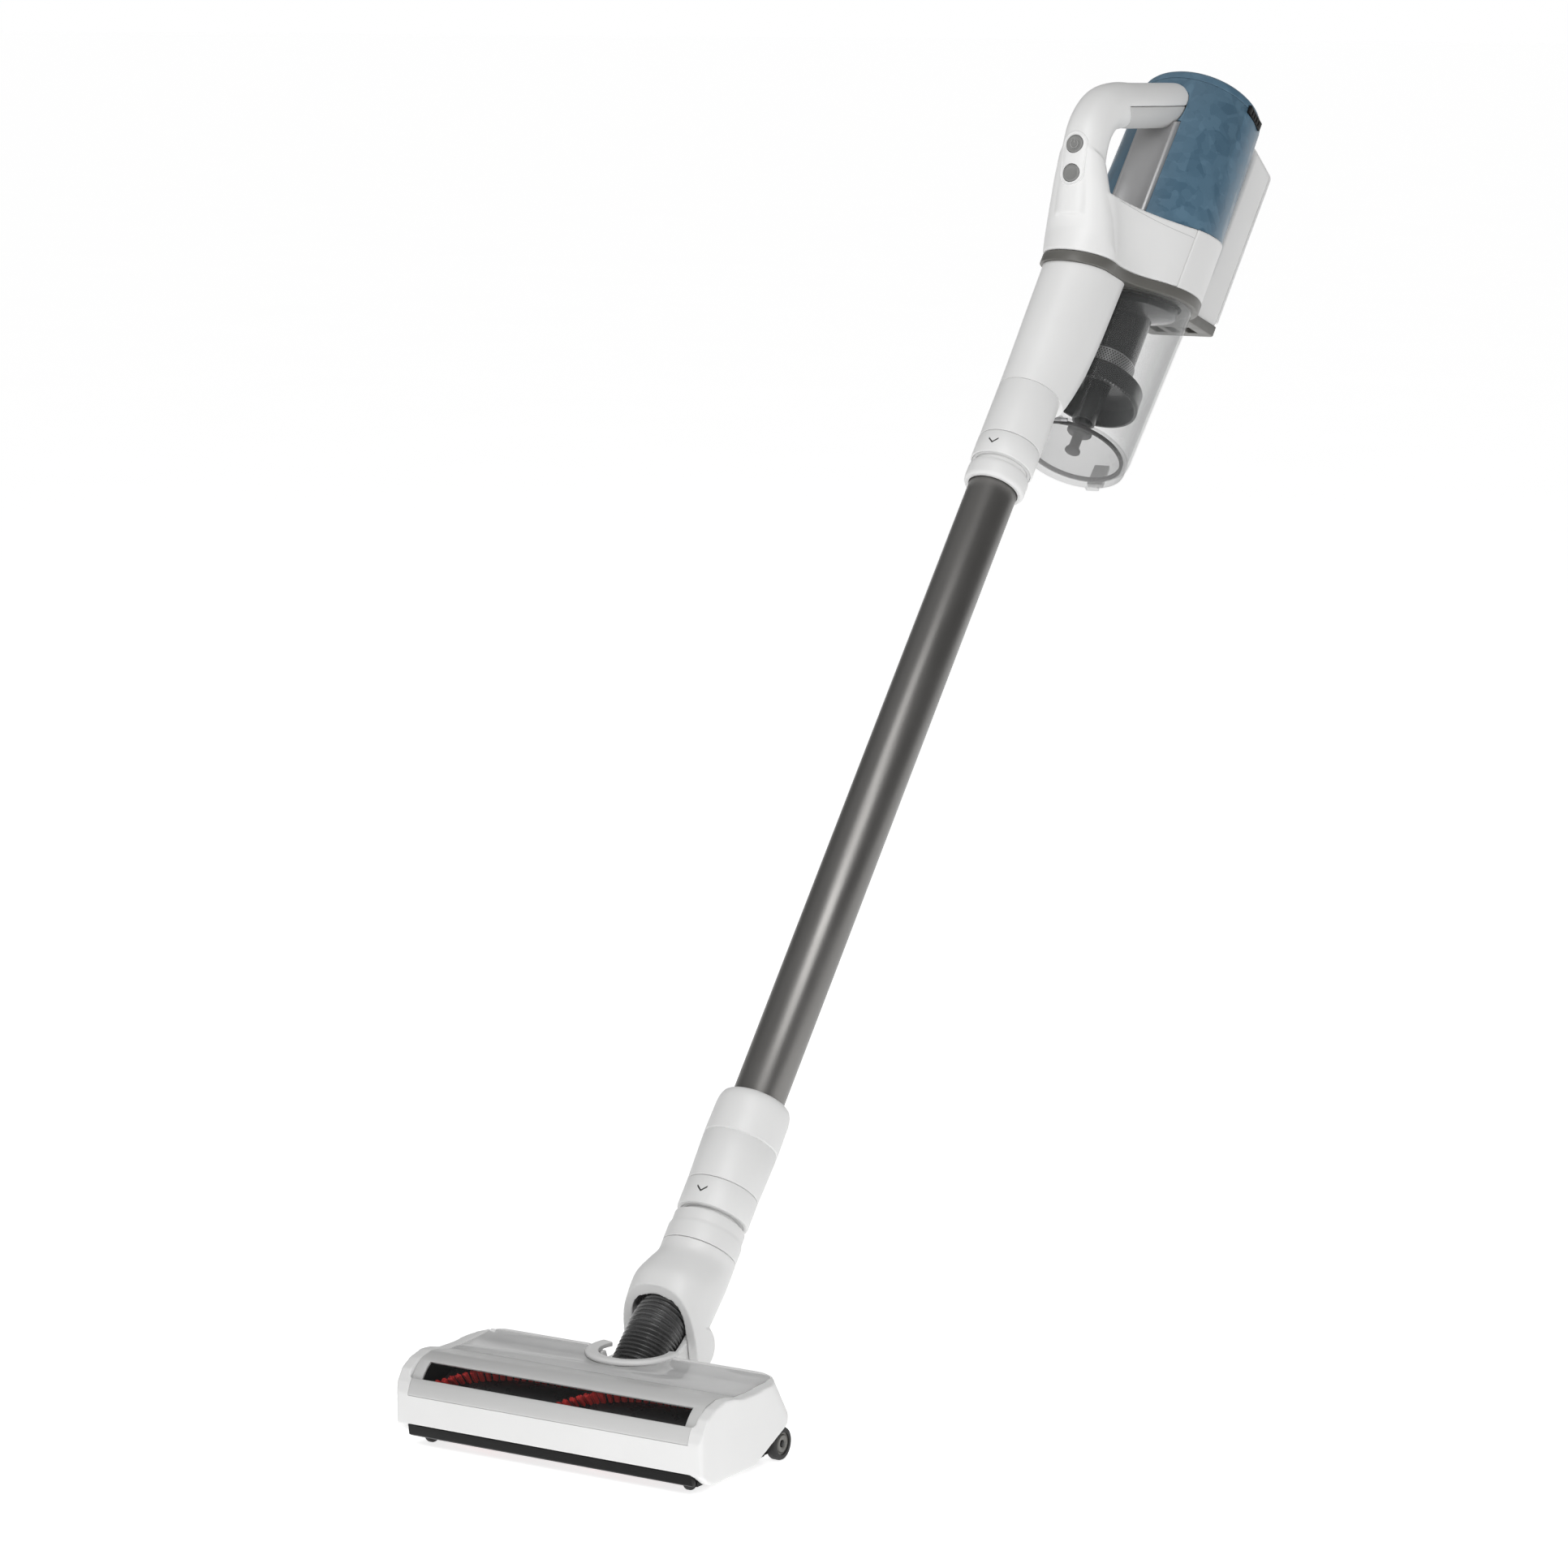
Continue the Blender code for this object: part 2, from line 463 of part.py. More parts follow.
def build_motor_unit(stick):
    """Blue cover, spine plate, filter cap with its latch, motor, filters and impeller."""
    centre = (0.0, BIN_V)
    low = lambda x, v: rim_top(x, v) + GAP
    wall = MOTOR_WALL
    loops = [at_height(circle(MOTOR_R_LOW, centre, 40), low),
             at_height(circle(MOTOR_R_HIGH, centre, 40), CAP_U - GAP),
             at_height(circle(MOTOR_R_HIGH - wall, centre, 40), CAP_U - GAP),
             at_height(circle(MOTOR_R_LOW - wall, centre, 40), low)]
    cover = add_node("motor_cover", skin(loops, True), stick, "blue_plastic")
    combine(cover, box(-SPINE_HALF - GAP, SPINE_HALF + GAP, 0.02, SPINE_V1 + GAP, 0.98, 1.1145), stick)
    combine(cover, box(0.0430, 0.0500, LATCH_V0 - GAP, LATCH_V1 + GAP, LATCH_U0 - GAP, 1.13), stick)

    spine = [(-SPINE_HALF, SPINE_V1), (-SPINE_HALF, SPINE_V0)]
    spine += arc((0.0, SPINE_V0 - 0.0165), 0.0205, 130, 50, 6)
    spine += [(SPINE_HALF, SPINE_V0), (SPINE_HALF, SPINE_V1)]
    top = lambda x, v: bar_point(v, -HANDLE_HALF_D)[1] - 0.0012
    add_node("spine_plate", prism(spine, lambda x, v: rim_top(x, v) + 2 * GAP, top), stick, "grey_plastic")

    cap = [(MOTOR_R_HIGH - wall, CAP_U), (MOTOR_R_HIGH, CAP_U), (MOTOR_R_HIGH - 0.0006, CAP_U + 0.0040)]
    cap += [(0.0454 * math.cos(t), CAP_U + 0.0040 + (CAP_TOP - CAP_U - 0.0040) * math.sin(t))
            for t in (0.35, 0.65, 0.95, 1.25)]
    cap += [(0.0, CAP_TOP), (0.0, CAP_TOP - wall)]
    cap += [(0.0430 * math.cos(t), CAP_U + 0.0036 + (CAP_TOP - CAP_U - 0.0036 - wall) * math.sin(t))
            for t in (1.2, 0.8, 0.4)]
    cap = add_node("filter_cap", turned_shell(cap, centre, 40), stick, "blue_plastic", (0.0, BIN_V, CAP_U))
    combine(cap, box(0.0415, 0.0500, LATCH_V0 - GAP, LATCH_V1 + GAP, 1.10, LATCH_U1 + GAP), stick)
    latch = box(0.0445, 0.0466, LATCH_V0, LATCH_V1, LATCH_U0, LATCH_U1)
    add_node("cap_latch", latch, stick, "black_plastic", (0.0455, BIN_V, LATCH_U0))

    can = [(0.0031, 1.030), (0.0270, 1.030), (0.0300, 1.034), (0.0300, 1.080), (0.0250, 1.085), (0.0031, 1.085)]
    add_node("motor_can", turned(can, centre, 24, True), stick, "steel")
    impeller = [(0.0, 1.004), (0.0030, 1.004), (0.0060, 1.008), (0.0270, 1.012), (0.0270, 1.022),
                (0.0090, 1.026),
                (0.0028, 1.0275), (0.0028, 1.090), (0.0, 1.090)]
    impeller = add_node("impeller", turned(impeller, centre, 24), stick, "dark_grey_plastic",
                        (0.0, BIN_V, 1.010))
    for index in range(7):
        angle = 2 * math.pi * index / 7
        blade = box(0.0110, 0.0300, -0.0012, 0.0012, 1.0135, 1.0205)
        blade.transform(Matrix.Translation((0.0, BIN_V, 0.0)) @ Matrix.Rotation(angle, 4, "Z"))
        combine(impeller, blade, stick)
    add_node("inlet_filter", turned([(0.0, 0.9890), (0.0424, 0.9890), (0.0424, 1.0000), (0.0, 1.0000)],
                                    centre, 32), stick, "filter_felt")
    exhaust = [(0.0300, 1.0950), (0.0424, 1.0950), (0.0424, 1.1120), (0.0300, 1.1120)]
    add_node("exhaust_filter", turned(exhaust, centre, 32, True), stick, "filter_felt")


def turned_shell(profile, centre, count):
    """Closed profile that touches the axis at both its inner and its outer tip."""
    tips = [i for i, (radius, _) in enumerate(profile) if radius == 0.0]
    outer = profile[1:tips[0] + 1]
    inner = profile[tips[1]:] + [profile[0]]
    loops = []
    for radius, height in reversed(outer):
        loops.append([(a, b, height) for a, b in (circle(radius, centre, count) if radius else [centre])])
    for radius, height in reversed(inner):
        loops.append([(a, b, height) for a, b in (circle(radius, centre, count) if radius else [centre])])
    return skin(loops)


# ---------------------------------------------------------------- dust bin

def build_bin(stick):
    """Clear bin with the cyclone, its perforated shroud and skirt, the bottom lid and its latch."""
    centre = (0.0, BIN_V)
    lip = 0.8265
    wall = BIN_WALL
    loops = [at_height(circle(BIN_LOW_R, centre, 40), BIN_LOW),
             at_height(circle(BIN_LOW_R + 0.0006, centre, 40), lip),
             at_height(circle(BIN_TOP_R, centre, 40), bin_plane),
             at_height(circle(BIN_TOP_R - wall, centre, 40), bin_plane),
             at_height(circle(BIN_LOW_R + 0.0006 - wall, centre, 40), lip),
             at_height(circle(BIN_LOW_R - wall, centre, 40), BIN_LOW)]
    add_node("dust_bin", skin(loops, True), stick, "clear_plastic")

    tube_top = lambda x, v: bin_plane(x, v) - 0.0012
    loops = [at_height(circle(0.0186, centre, 28), SHOULDER_U + 0.006),
             at_height(circle(CYCLONE_R, centre, 28), SHOULDER_U + 0.006),
             at_height(circle(CYCLONE_R, centre, 28), lambda x, v: tube_top(x, v) - 0.0120),
             at_height(circle(0.0360, centre, 28), lambda x, v: tube_top(x, v) - 0.0060),
             at_height(circle(0.0360, centre, 28), tube_top),
             at_height(circle(0.0340, centre, 28), tube_top),
             at_height(circle(0.0340, centre, 28), lambda x, v: tube_top(x, v) - 0.0040),
             at_height(circle(0.0186, centre, 28), lambda x, v: tube_top(x, v) - 0.0105)]
    add_node("cyclone_tube", skin(loops, True), stick, "dark_grey_plastic")
    shroud = [(0.0188, 0.8795), (0.0216, 0.8795), (0.0216, 0.8947), (0.0188, 0.8947)]
    add_node("cyclone_shroud", turned(shroud, centre, 28, True), stick, "steel")
    skirt = [(0.0320, CUP_LOW), (CUP_R, CUP_LOW), (CUP_R, CUP_HIGH), (0.0219, 0.8835), (0.0219, 0.8790),
             (0.0100, 0.8790), (0.0085, 0.8420), (0.0070, 0.8420), (0.0080, 0.8760), (0.0320, 0.8740)]
    add_node("cyclone_skirt", turned(skirt, centre, 28, True), stick, "dark_grey_plastic")
    post = [(0.0, 0.8162), (0.0056, 0.8162), (0.0056, 0.8185), (0.0038, 0.8200), (0.0038, 0.8320),
            (0.0092, 0.8325), (0.0092, 0.8355), (0.0, 0.8360)]
    add_node("fine_dust_plug", turned(post, centre, 20), stick, "black_plastic", (0.0, HINGE_V, HINGE_U))

    disc = [(0.0, LID_LOW), (LID_R - 0.001, LID_LOW), (LID_R, LID_LOW + 0.001), (LID_R, LID_HIGH),
            (LID_R - 0.0028, LID_HIGH), (LID_R - 0.0028, LID_LOW + 0.0038), (0.0, LID_LOW + 0.0038)]
    lid = add_node("bin_lid", turned(disc, centre, 40), stick, "clear_plastic", (0.0, HINGE_V, HINGE_U))
    combine(lid, box(-0.0085, 0.0085, 0.0352, 0.0420, LID_LOW + 0.0005, LID_HIGH - 0.0002), stick, "UNION")
    combine(lid, turned_x([(0.0016, -0.02), (0.0016, 0.02)], (HINGE_V, HINGE_U), 12), stick)
    combine(lid, box(-0.0050, 0.0050, 0.1165, 0.1205, LID_LOW + 0.0004, LID_LOW + 0.0026), stick, "UNION")
    pin = turned_x([(0.0, -0.0130), (0.0013, -0.0130), (0.0013, 0.0130), (0.0, 0.0130)],
                   (HINGE_V, HINGE_U), 12)
    add_node("lid_pin", pin, stick, "steel")
    latch = [(0.1194, 0.8175), (0.1225, 0.8165), (0.1222, 0.8330), (0.1205, 0.8350)]
    add_node("bin_latch", prism_x(latch, -0.0062, 0.0062), stick, "grey_plastic", (0.0, 0.1210, 0.8335))


# ---------------------------------------------------------------- suction tube

def build_tube(stick):
    """Grey tube with its upper spigot and its lower coupling."""
    low, high = SLEEVE_HIGH + 0.030, LIP_LOW + 0.050
    tube = [(TUBE_R - TUBE_WALL, low), (TUBE_R, low), (TUBE_R, high), (TUBE_R - TUBE_WALL, high)]
    add_node("suction_tube", turned(tube, closed=True), stick, "grey_aluminium", (0.0, 0.0, LIP_HIGH))
    inner = TUBE_R + GAP
    spigot = [(inner, LIP_LOW), (0.0206, LIP_LOW), (0.0218, LIP_LOW + 0.0015), (0.0218, LIP_HIGH - 0.0015),
              (0.0208, LIP_HIGH), (SPIGOT_R, LIP_HIGH), (SPIGOT_R, SPIGOT_TOP - 0.001),
              (SPIGOT_R - 0.0006, SPIGOT_TOP), (inner, SPIGOT_TOP)]
    add_node("tube_spigot", turned(spigot, closed=True), stick, "white_plastic", (0.0, 0.0, LIP_HIGH))
    seat = SEAT_R - 0.0012
    collar = [(SOCKET_R, SLEEVE_LOW), (seat, SLEEVE_LOW), (seat, SLEEVE_HIGH + GAP),
              (LOW_SLEEVE_R, SLEEVE_HIGH + GAP), (COLLAR_R, COLLAR_SEAM - 0.0005),
              (COLLAR_R - 0.0004, COLLAR_SEAM), (COLLAR_R, COLLAR_SEAM + 0.0005),
              (COLLAR_R - 0.0006, COLLAR_HIGH - 0.007), (COLLAR_R - 0.0022, COLLAR_HIGH - 0.0015),
              (COLLAR_R - 0.0050, COLLAR_HIGH), (inner, COLLAR_HIGH),
              (inner, SLEEVE_HIGH + 0.0296), (SOCKET_R, SLEEVE_HIGH + 0.0290)]
    add_node("tube_collar", turned(collar, closed=True), stick, "white_plastic", (0.0, 0.0, SLEEVE_HIGH))


# ---------------------------------------------------------------- neck and elbow

def egg(half, front, rear, height, middle=0.0, power=2.0, count=32):
    """Closed section from front to rear, widest at v = middle, with a fuller front half for a higher power."""
    loop = []
    for a, b in circle(1.0, (0.0, 0.0), count):
        bend = 2.0 / power if b < 0 else 1.0
        reach = (middle - front) if b < 0 else (rear - middle)
        loop.append((math.copysign(abs(a) ** bend, a) * half,
                     middle + math.copysign(abs(b) ** bend, b) * reach, height))
    return loop


def build_neck(stick):
    """Spigot that locks into the tube's collar, and the elbow that turns about it."""
    spigot = [(0.0150, NECK_LOW), (0.0250, NECK_LOW), (0.0250, 0.1470), (0.0232, 0.1495), (0.0205, 0.1505),
              (0.0205, 0.1580), (SPIGOT_R, 0.1583), (SPIGOT_R, NECK_TOP - 0.001), (SPIGOT_R - 0.0006, NECK_TOP),
              (0.0150, NECK_TOP)]
    add_node("neck_spigot", turned(spigot, closed=True), stick, "white_plastic", (0.0, 0.0, NECK_LOW))
    outer = [egg(0.0250, -0.0250, 0.0252, 0.1350), egg(0.0250, -0.0256, 0.0254, 0.1270),
             egg(0.0262, -0.0300, 0.0250, 0.1170, -0.003, 2.3),
             egg(0.0274, -0.0346, 0.0238, 0.1060, -0.007, 2.5),
             egg(LOBE_OUT, -0.0356, 0.0222, 0.0960, -0.008, 2.5),
             egg(LOBE_OUT, -0.0345, 0.0205, 0.0860, -0.008, 2.4),
             egg(LOBE_OUT - 0.0001, -0.0330, 0.0190, 0.0720, -0.004, 2.4), egg(0.0268, -0.0310, 0.0172, 0.0600)]
    elbow = add_node("elbow", skin(outer), stick, "white_plastic", (0.0, 0.0, NECK_LOW))
    lobes = turned_x([(0.0, -LOBE_OUT), (LOBE_R - 0.0025, -LOBE_OUT), (LOBE_R, 0.0025 - LOBE_OUT),
                      (LOBE_R, LOBE_OUT - 0.0025), (LOBE_R - 0.0025, LOBE_OUT), (0.0, LOBE_OUT)],
                     (PIVOT_V, PIVOT_U), 32)
    combine(elbow, lobes, stick, "UNION")
    mouth = [(-0.0350, 0.0940), (0.0190, 0.0490), (-0.0800, 0.0490), (-0.0800, 0.0940)]
    combine(elbow, prism_x(mouth, -0.04, 0.04), stick)
    bore = [egg(0.0185, -0.0185, 0.0185, 0.1400), egg(0.0190, -0.0190, 0.0190, 0.1240),
            egg(0.0200, -0.0235, 0.0190, 0.1120, 0.0, 2.4),
            egg(LOBE_IN - 0.0004, -0.0290, 0.0165, 0.0980, -0.009, 3.0),
            egg(LOBE_IN - 0.0004, -0.0300, 0.0160, 0.0700, -0.009, 3.0)]
    combine(elbow, skin(bore), stick)
    arch = arc((0.0, 0.0700), LOBE_IN, 0, 180, 12) + [(-LOBE_IN, 0.03), (LOBE_IN, 0.03)]
    combine(elbow, skin([[(x, v, u) for x, u in arch] for v in (-0.06, 0.0150)]), stick)
    combine(elbow, box(-LOBE_IN, LOBE_IN, 0.0, 0.0300, 0.0300, 0.0745), stick)
    room = [(0.0, -EAR_OUT - GAP), (EAR_R + 0.0015, -EAR_OUT - GAP), (EAR_R + 0.0015, EAR_OUT + GAP),
            (0.0, EAR_OUT + GAP)]
    combine(elbow, turned_x(room, (PIVOT_V, PIVOT_U), 24), stick)
    for side in (-1, 1):
        combine(elbow, turned_x([(0.0, side * 0.0180), (0.0053, side * 0.0180), (0.0053, side * 0.0248),
                                 (0.0, side * 0.0248)], (PIVOT_V, PIVOT_U), 16), stick)


def hose_loops(radius, points, steps=3, count=24):
    path = smooth_path(points, steps)
    loops = []
    for i, point in enumerate(path):
        tangent = (path[min(i + 1, len(path) - 1)] - path[max(i - 1, 0)]).normalized()
        loops.append([(a, point[0] + tangent[1] * b, point[1] - tangent[0] * b)
                      for a, b in circle(radius, (0.0, 0.0), count)])
    return loops


def build_hose(stick):
    """Corrugated hose from the head's duct up into the elbow, as a plain bent cylinder."""
    add_node("neck_hose", skin(hose_loops(HOSE_R, HOSE_PATH)), stick, "rubber",
             (0.0, PIVOT_V, PIVOT_U))


# ---------------------------------------------------------------- floor head

def build_head_body(head, stick):
    """White shell, black base, clear cover and window, and the saddle that carries the pivot."""
    profile = [(-0.0890, 0.0140), (-0.0896, 0.0340), (-0.0870, 0.0405), (-0.0820, 0.0480), (-0.0736, 0.0527),
               (-0.0617, 0.0554), (-0.0532, 0.0547), (-0.0429, 0.0522), (-0.0274, 0.0518), (-0.0050, 0.0530),
               (0.0070, 0.0548), (0.0092, 0.0540), (0.0195, 0.0290), (0.0190, 0.0245), (0.0076, 0.0221),
               (-0.0280, 0.0062), (-0.0785, 0.0063)]
    shell = add_node("head_shell", prism_x(profile, -HEAD_HALF, HEAD_HALF), head, "white_plastic")
    walls = [at_height(rounded_rectangle(-HEAD_HALF, HEAD_HALF, -0.0900, rear, 0.004, corner, 5), z)
             for rear, corner, z in ((0.0197, 0.014, 0.0), (0.0197, 0.014, 0.0290), (0.0052, 0.025, 0.0620))]
    combine(shell, skin(walls), head, "INTERSECT")
    inside = [(-0.0852, 0.0385), (-0.0830, 0.0700), (0.0050, 0.0700), (0.0050, 0.0500), (0.0140, 0.0290),
              (0.0140, 0.0268), (0.0076, 0.0246), (-0.0150, 0.0145), (-0.0150, -0.010), (-0.0950, -0.010),
              (-0.0950, 0.0140), (-0.0852, 0.0140)]
    combine(shell, prism_x(inside, -CHEEK_IN, CHEEK_IN), head)
    for side in (-1, 1):
        boss = turned_x([(0.0, side * 0.0995), (0.0135, side * 0.0995), (0.0135, side * 0.1085),
                         (0.0, side * 0.1085)], (BRUSH_Y, BRUSH_Z))
        combine(shell, boss, head, "UNION")
    combine(shell, box(-0.0212, 0.0212, -0.008, 0.03, 0.0, 0.07), head)
    combine(shell, turned([(RING_R + 0.0004, 0.0512), (RING_R + 0.0004, 0.07)], (0.0, RING_Y), 32), head)

    base = add_node("head_base", box(GAP - CHEEK_IN, CHEEK_IN - GAP, -0.0812, -0.0045, 0.0048, 0.0115), head,
                    "black_plastic")
    combine(base, box(-0.1050, 0.1050, -0.0140, 0.0030, 0.0052, 0.0105), head, "UNION")
    combine(base, box(-0.0931, 0.0931, -0.0795, -0.0365, 0.0, 0.02), head)
    for side in (-1, 1):
        x0, x1 = sorted((side * 0.1015, side * 0.1050))
        arm = arc((REAR_WHEEL_Y, REAR_WHEEL_R), 0.0062, -80, 100, 6) + [(-0.0100, 0.0112), (-0.0100, 0.0050)]
        combine(base, prism_x(arm, x0, x1), head, "UNION")
        stub = turned_x([(0.0, side * 0.1030), (0.0020, side * 0.1030), (0.0020, side * 0.1115),
                         (0.0, side * 0.1115)], (REAR_WHEEL_Y, REAR_WHEEL_R), 12)
        combine(base, stub, head, "UNION")
        combine(base, box(*sorted((side * 0.0942, side * 0.1018)), ROLLER_Y - 0.0090, ROLLER_Y + 0.0080,
                          0.0, 0.02), head)
    strip = [(-0.0882, 0.0136), (-0.0822, 0.0136), (-0.0822, 0.0060), (-0.0850, 0.0056), (-0.0872, 0.0070)]
    add_node("bumper_strip", prism_x(strip, 2 * GAP - CHEEK_IN, CHEEK_IN - 2 * GAP), head, "rubber")

    start = math.degrees(math.atan2(0.0392 - BRUSH_Z, -0.0838 - BRUSH_Y))
    end = math.degrees(math.atan2(0.0527 - BRUSH_Z, -0.0710 - BRUSH_Y))
    axis = (BRUSH_Y, BRUSH_Z)
    cover = arc(axis, 0.0292, start, end, 5) + [(-0.0617, 0.0551), (-0.0532, 0.0544), (-0.0429, 0.0519)]
    cover += [(-0.0274, 0.0515), (-0.0050, 0.0527), (0.0046, 0.0541), (0.0046, 0.0521), (-0.0050, 0.0507)]
    cover += [(-0.0274, 0.0495), (-0.0429, 0.0499), (-0.0532, 0.0524), (-0.0615, 0.0533)]
    cover += arc(axis, 0.0274, end, start, 5)
    cover = add_node("head_cover", prism_x(cover, GAP - CHEEK_IN, CHEEK_IN - GAP), head, "clear_plastic")
    combine(cover, turned([(0.0242, 0.04), (0.0242, 0.07)], (0.0, RING_Y), 32), head)
    combine(cover, turned([(RING_R + 0.0004, 0.0512), (RING_R + 0.0004, 0.07)], (0.0, RING_Y), 32), head)
    deck = box(0.0010 - CHEEK_IN, CHEEK_IN - 0.0010, -0.0290, 0.0040, 0.0455, 0.0467)
    deck = add_node("deck_plate", deck, head, "grey_plastic")
    combine(deck, turned([(0.0242, 0.04), (0.0242, 0.07)], (0.0, RING_Y), 32), head)

    ring = [(0.0225, 0.0515), (RING_R - 0.0012, 0.0515), (RING_R, 0.0525), (RING_R, 0.0540), (0.0292, 0.0553),
            (0.0225, 0.0546)]
    ring = add_node("neck_ring", turned(ring, (0.0, RING_Y), 32, True), head, "white_plastic")
    combine(ring, box(-0.05, 0.05, 0.0170, 0.06, 0.03, 0.08), head)

    pivot = to_head(PIVOT_V, PIVOT_U)
    side_view = [(-0.0034, 0.0180), (0.0060, 0.0200), (0.0250, 0.0212), (0.0420, 0.0300)]
    side_view += arc(pivot, EAR_R, -60, 150, 8)
    side_view += [(0.0200, 0.0470), (-0.0034, 0.0470)]
    yoke = add_node("neck_yoke", prism_x(side_view, -EAR_OUT, EAR_OUT), head, "white_plastic")
    before = tuple(2 * a - b for a, b in zip(HOSE_PATH[0], HOSE_PATH[1]))
    combine(yoke, skin(hose_loops(HOSE_R + 0.0005, [before] + HOSE_PATH)[2:]), stick)
    combine(yoke, box(-0.0165, 0.0165, -0.02, 0.0120, 0.0225, 0.0400), head)
    combine(yoke, turned_x([(0.0051, -0.04), (0.0051, 0.04)], pivot, 16), head)
    for name, side in (("left", -1), ("right", 1)):
        pin = turned_x([(0.0, side * 0.0145), (0.0048, side * 0.0145), (0.0048, side * 0.0245),
                        (0.0, side * 0.0245)], pivot, 16)
        add_node("pivot_pin_" + name, pin, head, "steel", (0.0, *pivot))

    duct = [[(-0.0240, -0.0285, 0.0140), (0.0240, -0.0285, 0.0140), (0.0240, -0.0285, 0.0360),
             (-0.0240, -0.0285, 0.0360)],
            [(-0.0175, -0.0038, 0.0205), (0.0175, -0.0038, 0.0205), (0.0175, -0.0038, 0.0420),
             (-0.0175, -0.0038, 0.0420)]]
    inner = [[(x * 0.92, y, z + (0.0010 if i < 2 else -0.0012)) for i, (x, y, z) in enumerate(loop)]
             for loop in duct]
    add_node("suction_duct", skin([duct[0], duct[1], inner[1], inner[0]], True), head, "dark_grey_plastic")


def to_head(v, u):
    """(y, z) in the head frame of a point (v, u) in the stick frame's plane of symmetry."""
    return (u * math.sin(LEAN) + v * math.cos(LEAN), AXIS_Z + u * math.cos(LEAN) - v * math.sin(LEAN))


def build_brush(head):
    """Brush roll with three helical bristle rows, its bearing, motor, pulleys and belt."""
    axis = (BRUSH_Y, BRUSH_Z)
    core = [(0.0, -0.0988), (0.0040, -0.0988), (0.0040, -0.0982), (BRUSH_PULLEY_R, -0.0982),
            (BRUSH_PULLEY_R, -0.0944), (0.0060, -0.0940), (0.0060, -0.0930), (0.0165, -0.0925),
            (0.0165, 0.0925), (0.0060, 0.0930), (0.0060, 0.0940), (0.0040, 0.0942), (0.0040, 0.0985),
            (0.0, 0.0985)]
    add_node("brush_core", turned_x(core, axis, 24), head, "black_plastic", (0.0, *axis))
    for index in range(3):
        loops = []
        for i in range(25):
            x = BRUSH_HALF - 0.001 - 2 * (BRUSH_HALF - 0.001) * i / 24
            angle = math.radians(60 + 120 * index - 240 + 240 * i / 24)
            corners = ((0.0168, -0.13), (BRUSH_R, -0.10), (BRUSH_R, 0.10), (0.0168, 0.13))
            loops.append([(x, BRUSH_Y - radius * math.sin(angle + spread),
                           BRUSH_Z + radius * math.cos(angle + spread)) for radius, spread in corners])
        add_node(f"bristle_row_{index + 1}", skin(loops), head, "red_bristle", (0.0, *axis))
    bearing = [(0.0043, 0.0945), (0.0100, 0.0945), (0.0100, 0.0983), (0.0043, 0.0983)]
    add_node("brush_bearing", turned_x(bearing, axis, 20, True), head, "steel")

    motor = (MOTOR_Y, MOTOR_Z)
    body = [(0.0023, -0.0860), (0.0100, -0.0860), (0.0113, -0.0845), (0.0113, -0.0320), (0.0023, -0.0300)]
    add_node("brush_motor", turned_x(body, motor, 24, True), head, "steel")
    pulley = [(0.0, -0.0984), (MOTOR_PULLEY_R, -0.0984), (MOTOR_PULLEY_R, -0.0944), (0.0020, -0.0940),
              (0.0020, -0.0500), (0.0, -0.0500)]
    add_node("motor_pulley", turned_x(pulley, motor, 16), head, "steel", (0.0, *motor))
    outer = belt_outline(axis, BRUSH_PULLEY_R + 0.0015, motor, MOTOR_PULLEY_R + 0.0015)
    inner = belt_outline(axis, BRUSH_PULLEY_R + GAP, motor, MOTOR_PULLEY_R + GAP)
    loops = [[(x, y, z) for y, z in outline] for x, outline in
             ((BELT_X0, outer), (BELT_X1, outer), (BELT_X1, inner), (BELT_X0, inner))]
    add_node("drive_belt", skin(loops, True), head, "rubber")


def belt_outline(front, front_r, rear, rear_r):
    """Straight runs and arcs of a belt around two pulleys."""
    run = math.hypot(rear[0] - front[0], rear[1] - front[1])
    heading = math.degrees(math.atan2(rear[1] - front[1], rear[0] - front[0]))
    lean = math.degrees(math.acos((front_r - rear_r) / run))
    return (arc(front, front_r, heading + lean, heading + 360 - lean, 14)
            + arc(rear, rear_r, heading - lean, heading + lean, 10))


def build_wheels(head):
    wheel_at = (REAR_WHEEL_Y, REAR_WHEEL_R)
    roller_at = (ROLLER_Y, ROLLER_R)
    for name, side in (("left", -1), ("right", 1)):
        x0, x1 = side * 0.1054, side * 0.1118
        wheel = [(0.0023, x0), (REAR_WHEEL_R - 0.0008, x0), (REAR_WHEEL_R, x0 + side * 0.0010),
                 (REAR_WHEEL_R, x1 - side * 0.0010), (REAR_WHEEL_R - 0.0008, x1), (0.0023, x1)]
        add_node("rear_wheel_" + name, turned_x(wheel, wheel_at, 24, True), head, "rubber", (0.0, *wheel_at))
        x0, x1 = side * 0.0948, side * 0.0988
        roller = [(0.0, x0), (ROLLER_R - 0.0008, x0), (ROLLER_R, x0 + side * 0.0008),
                  (ROLLER_R, x1 - side * 0.0008),
                  (ROLLER_R - 0.0008, x1), (0.0, x1)]
        add_node("front_roller_" + name, turned_x(roller, roller_at, 20), head, "rubber", (0.0, *roller_at))


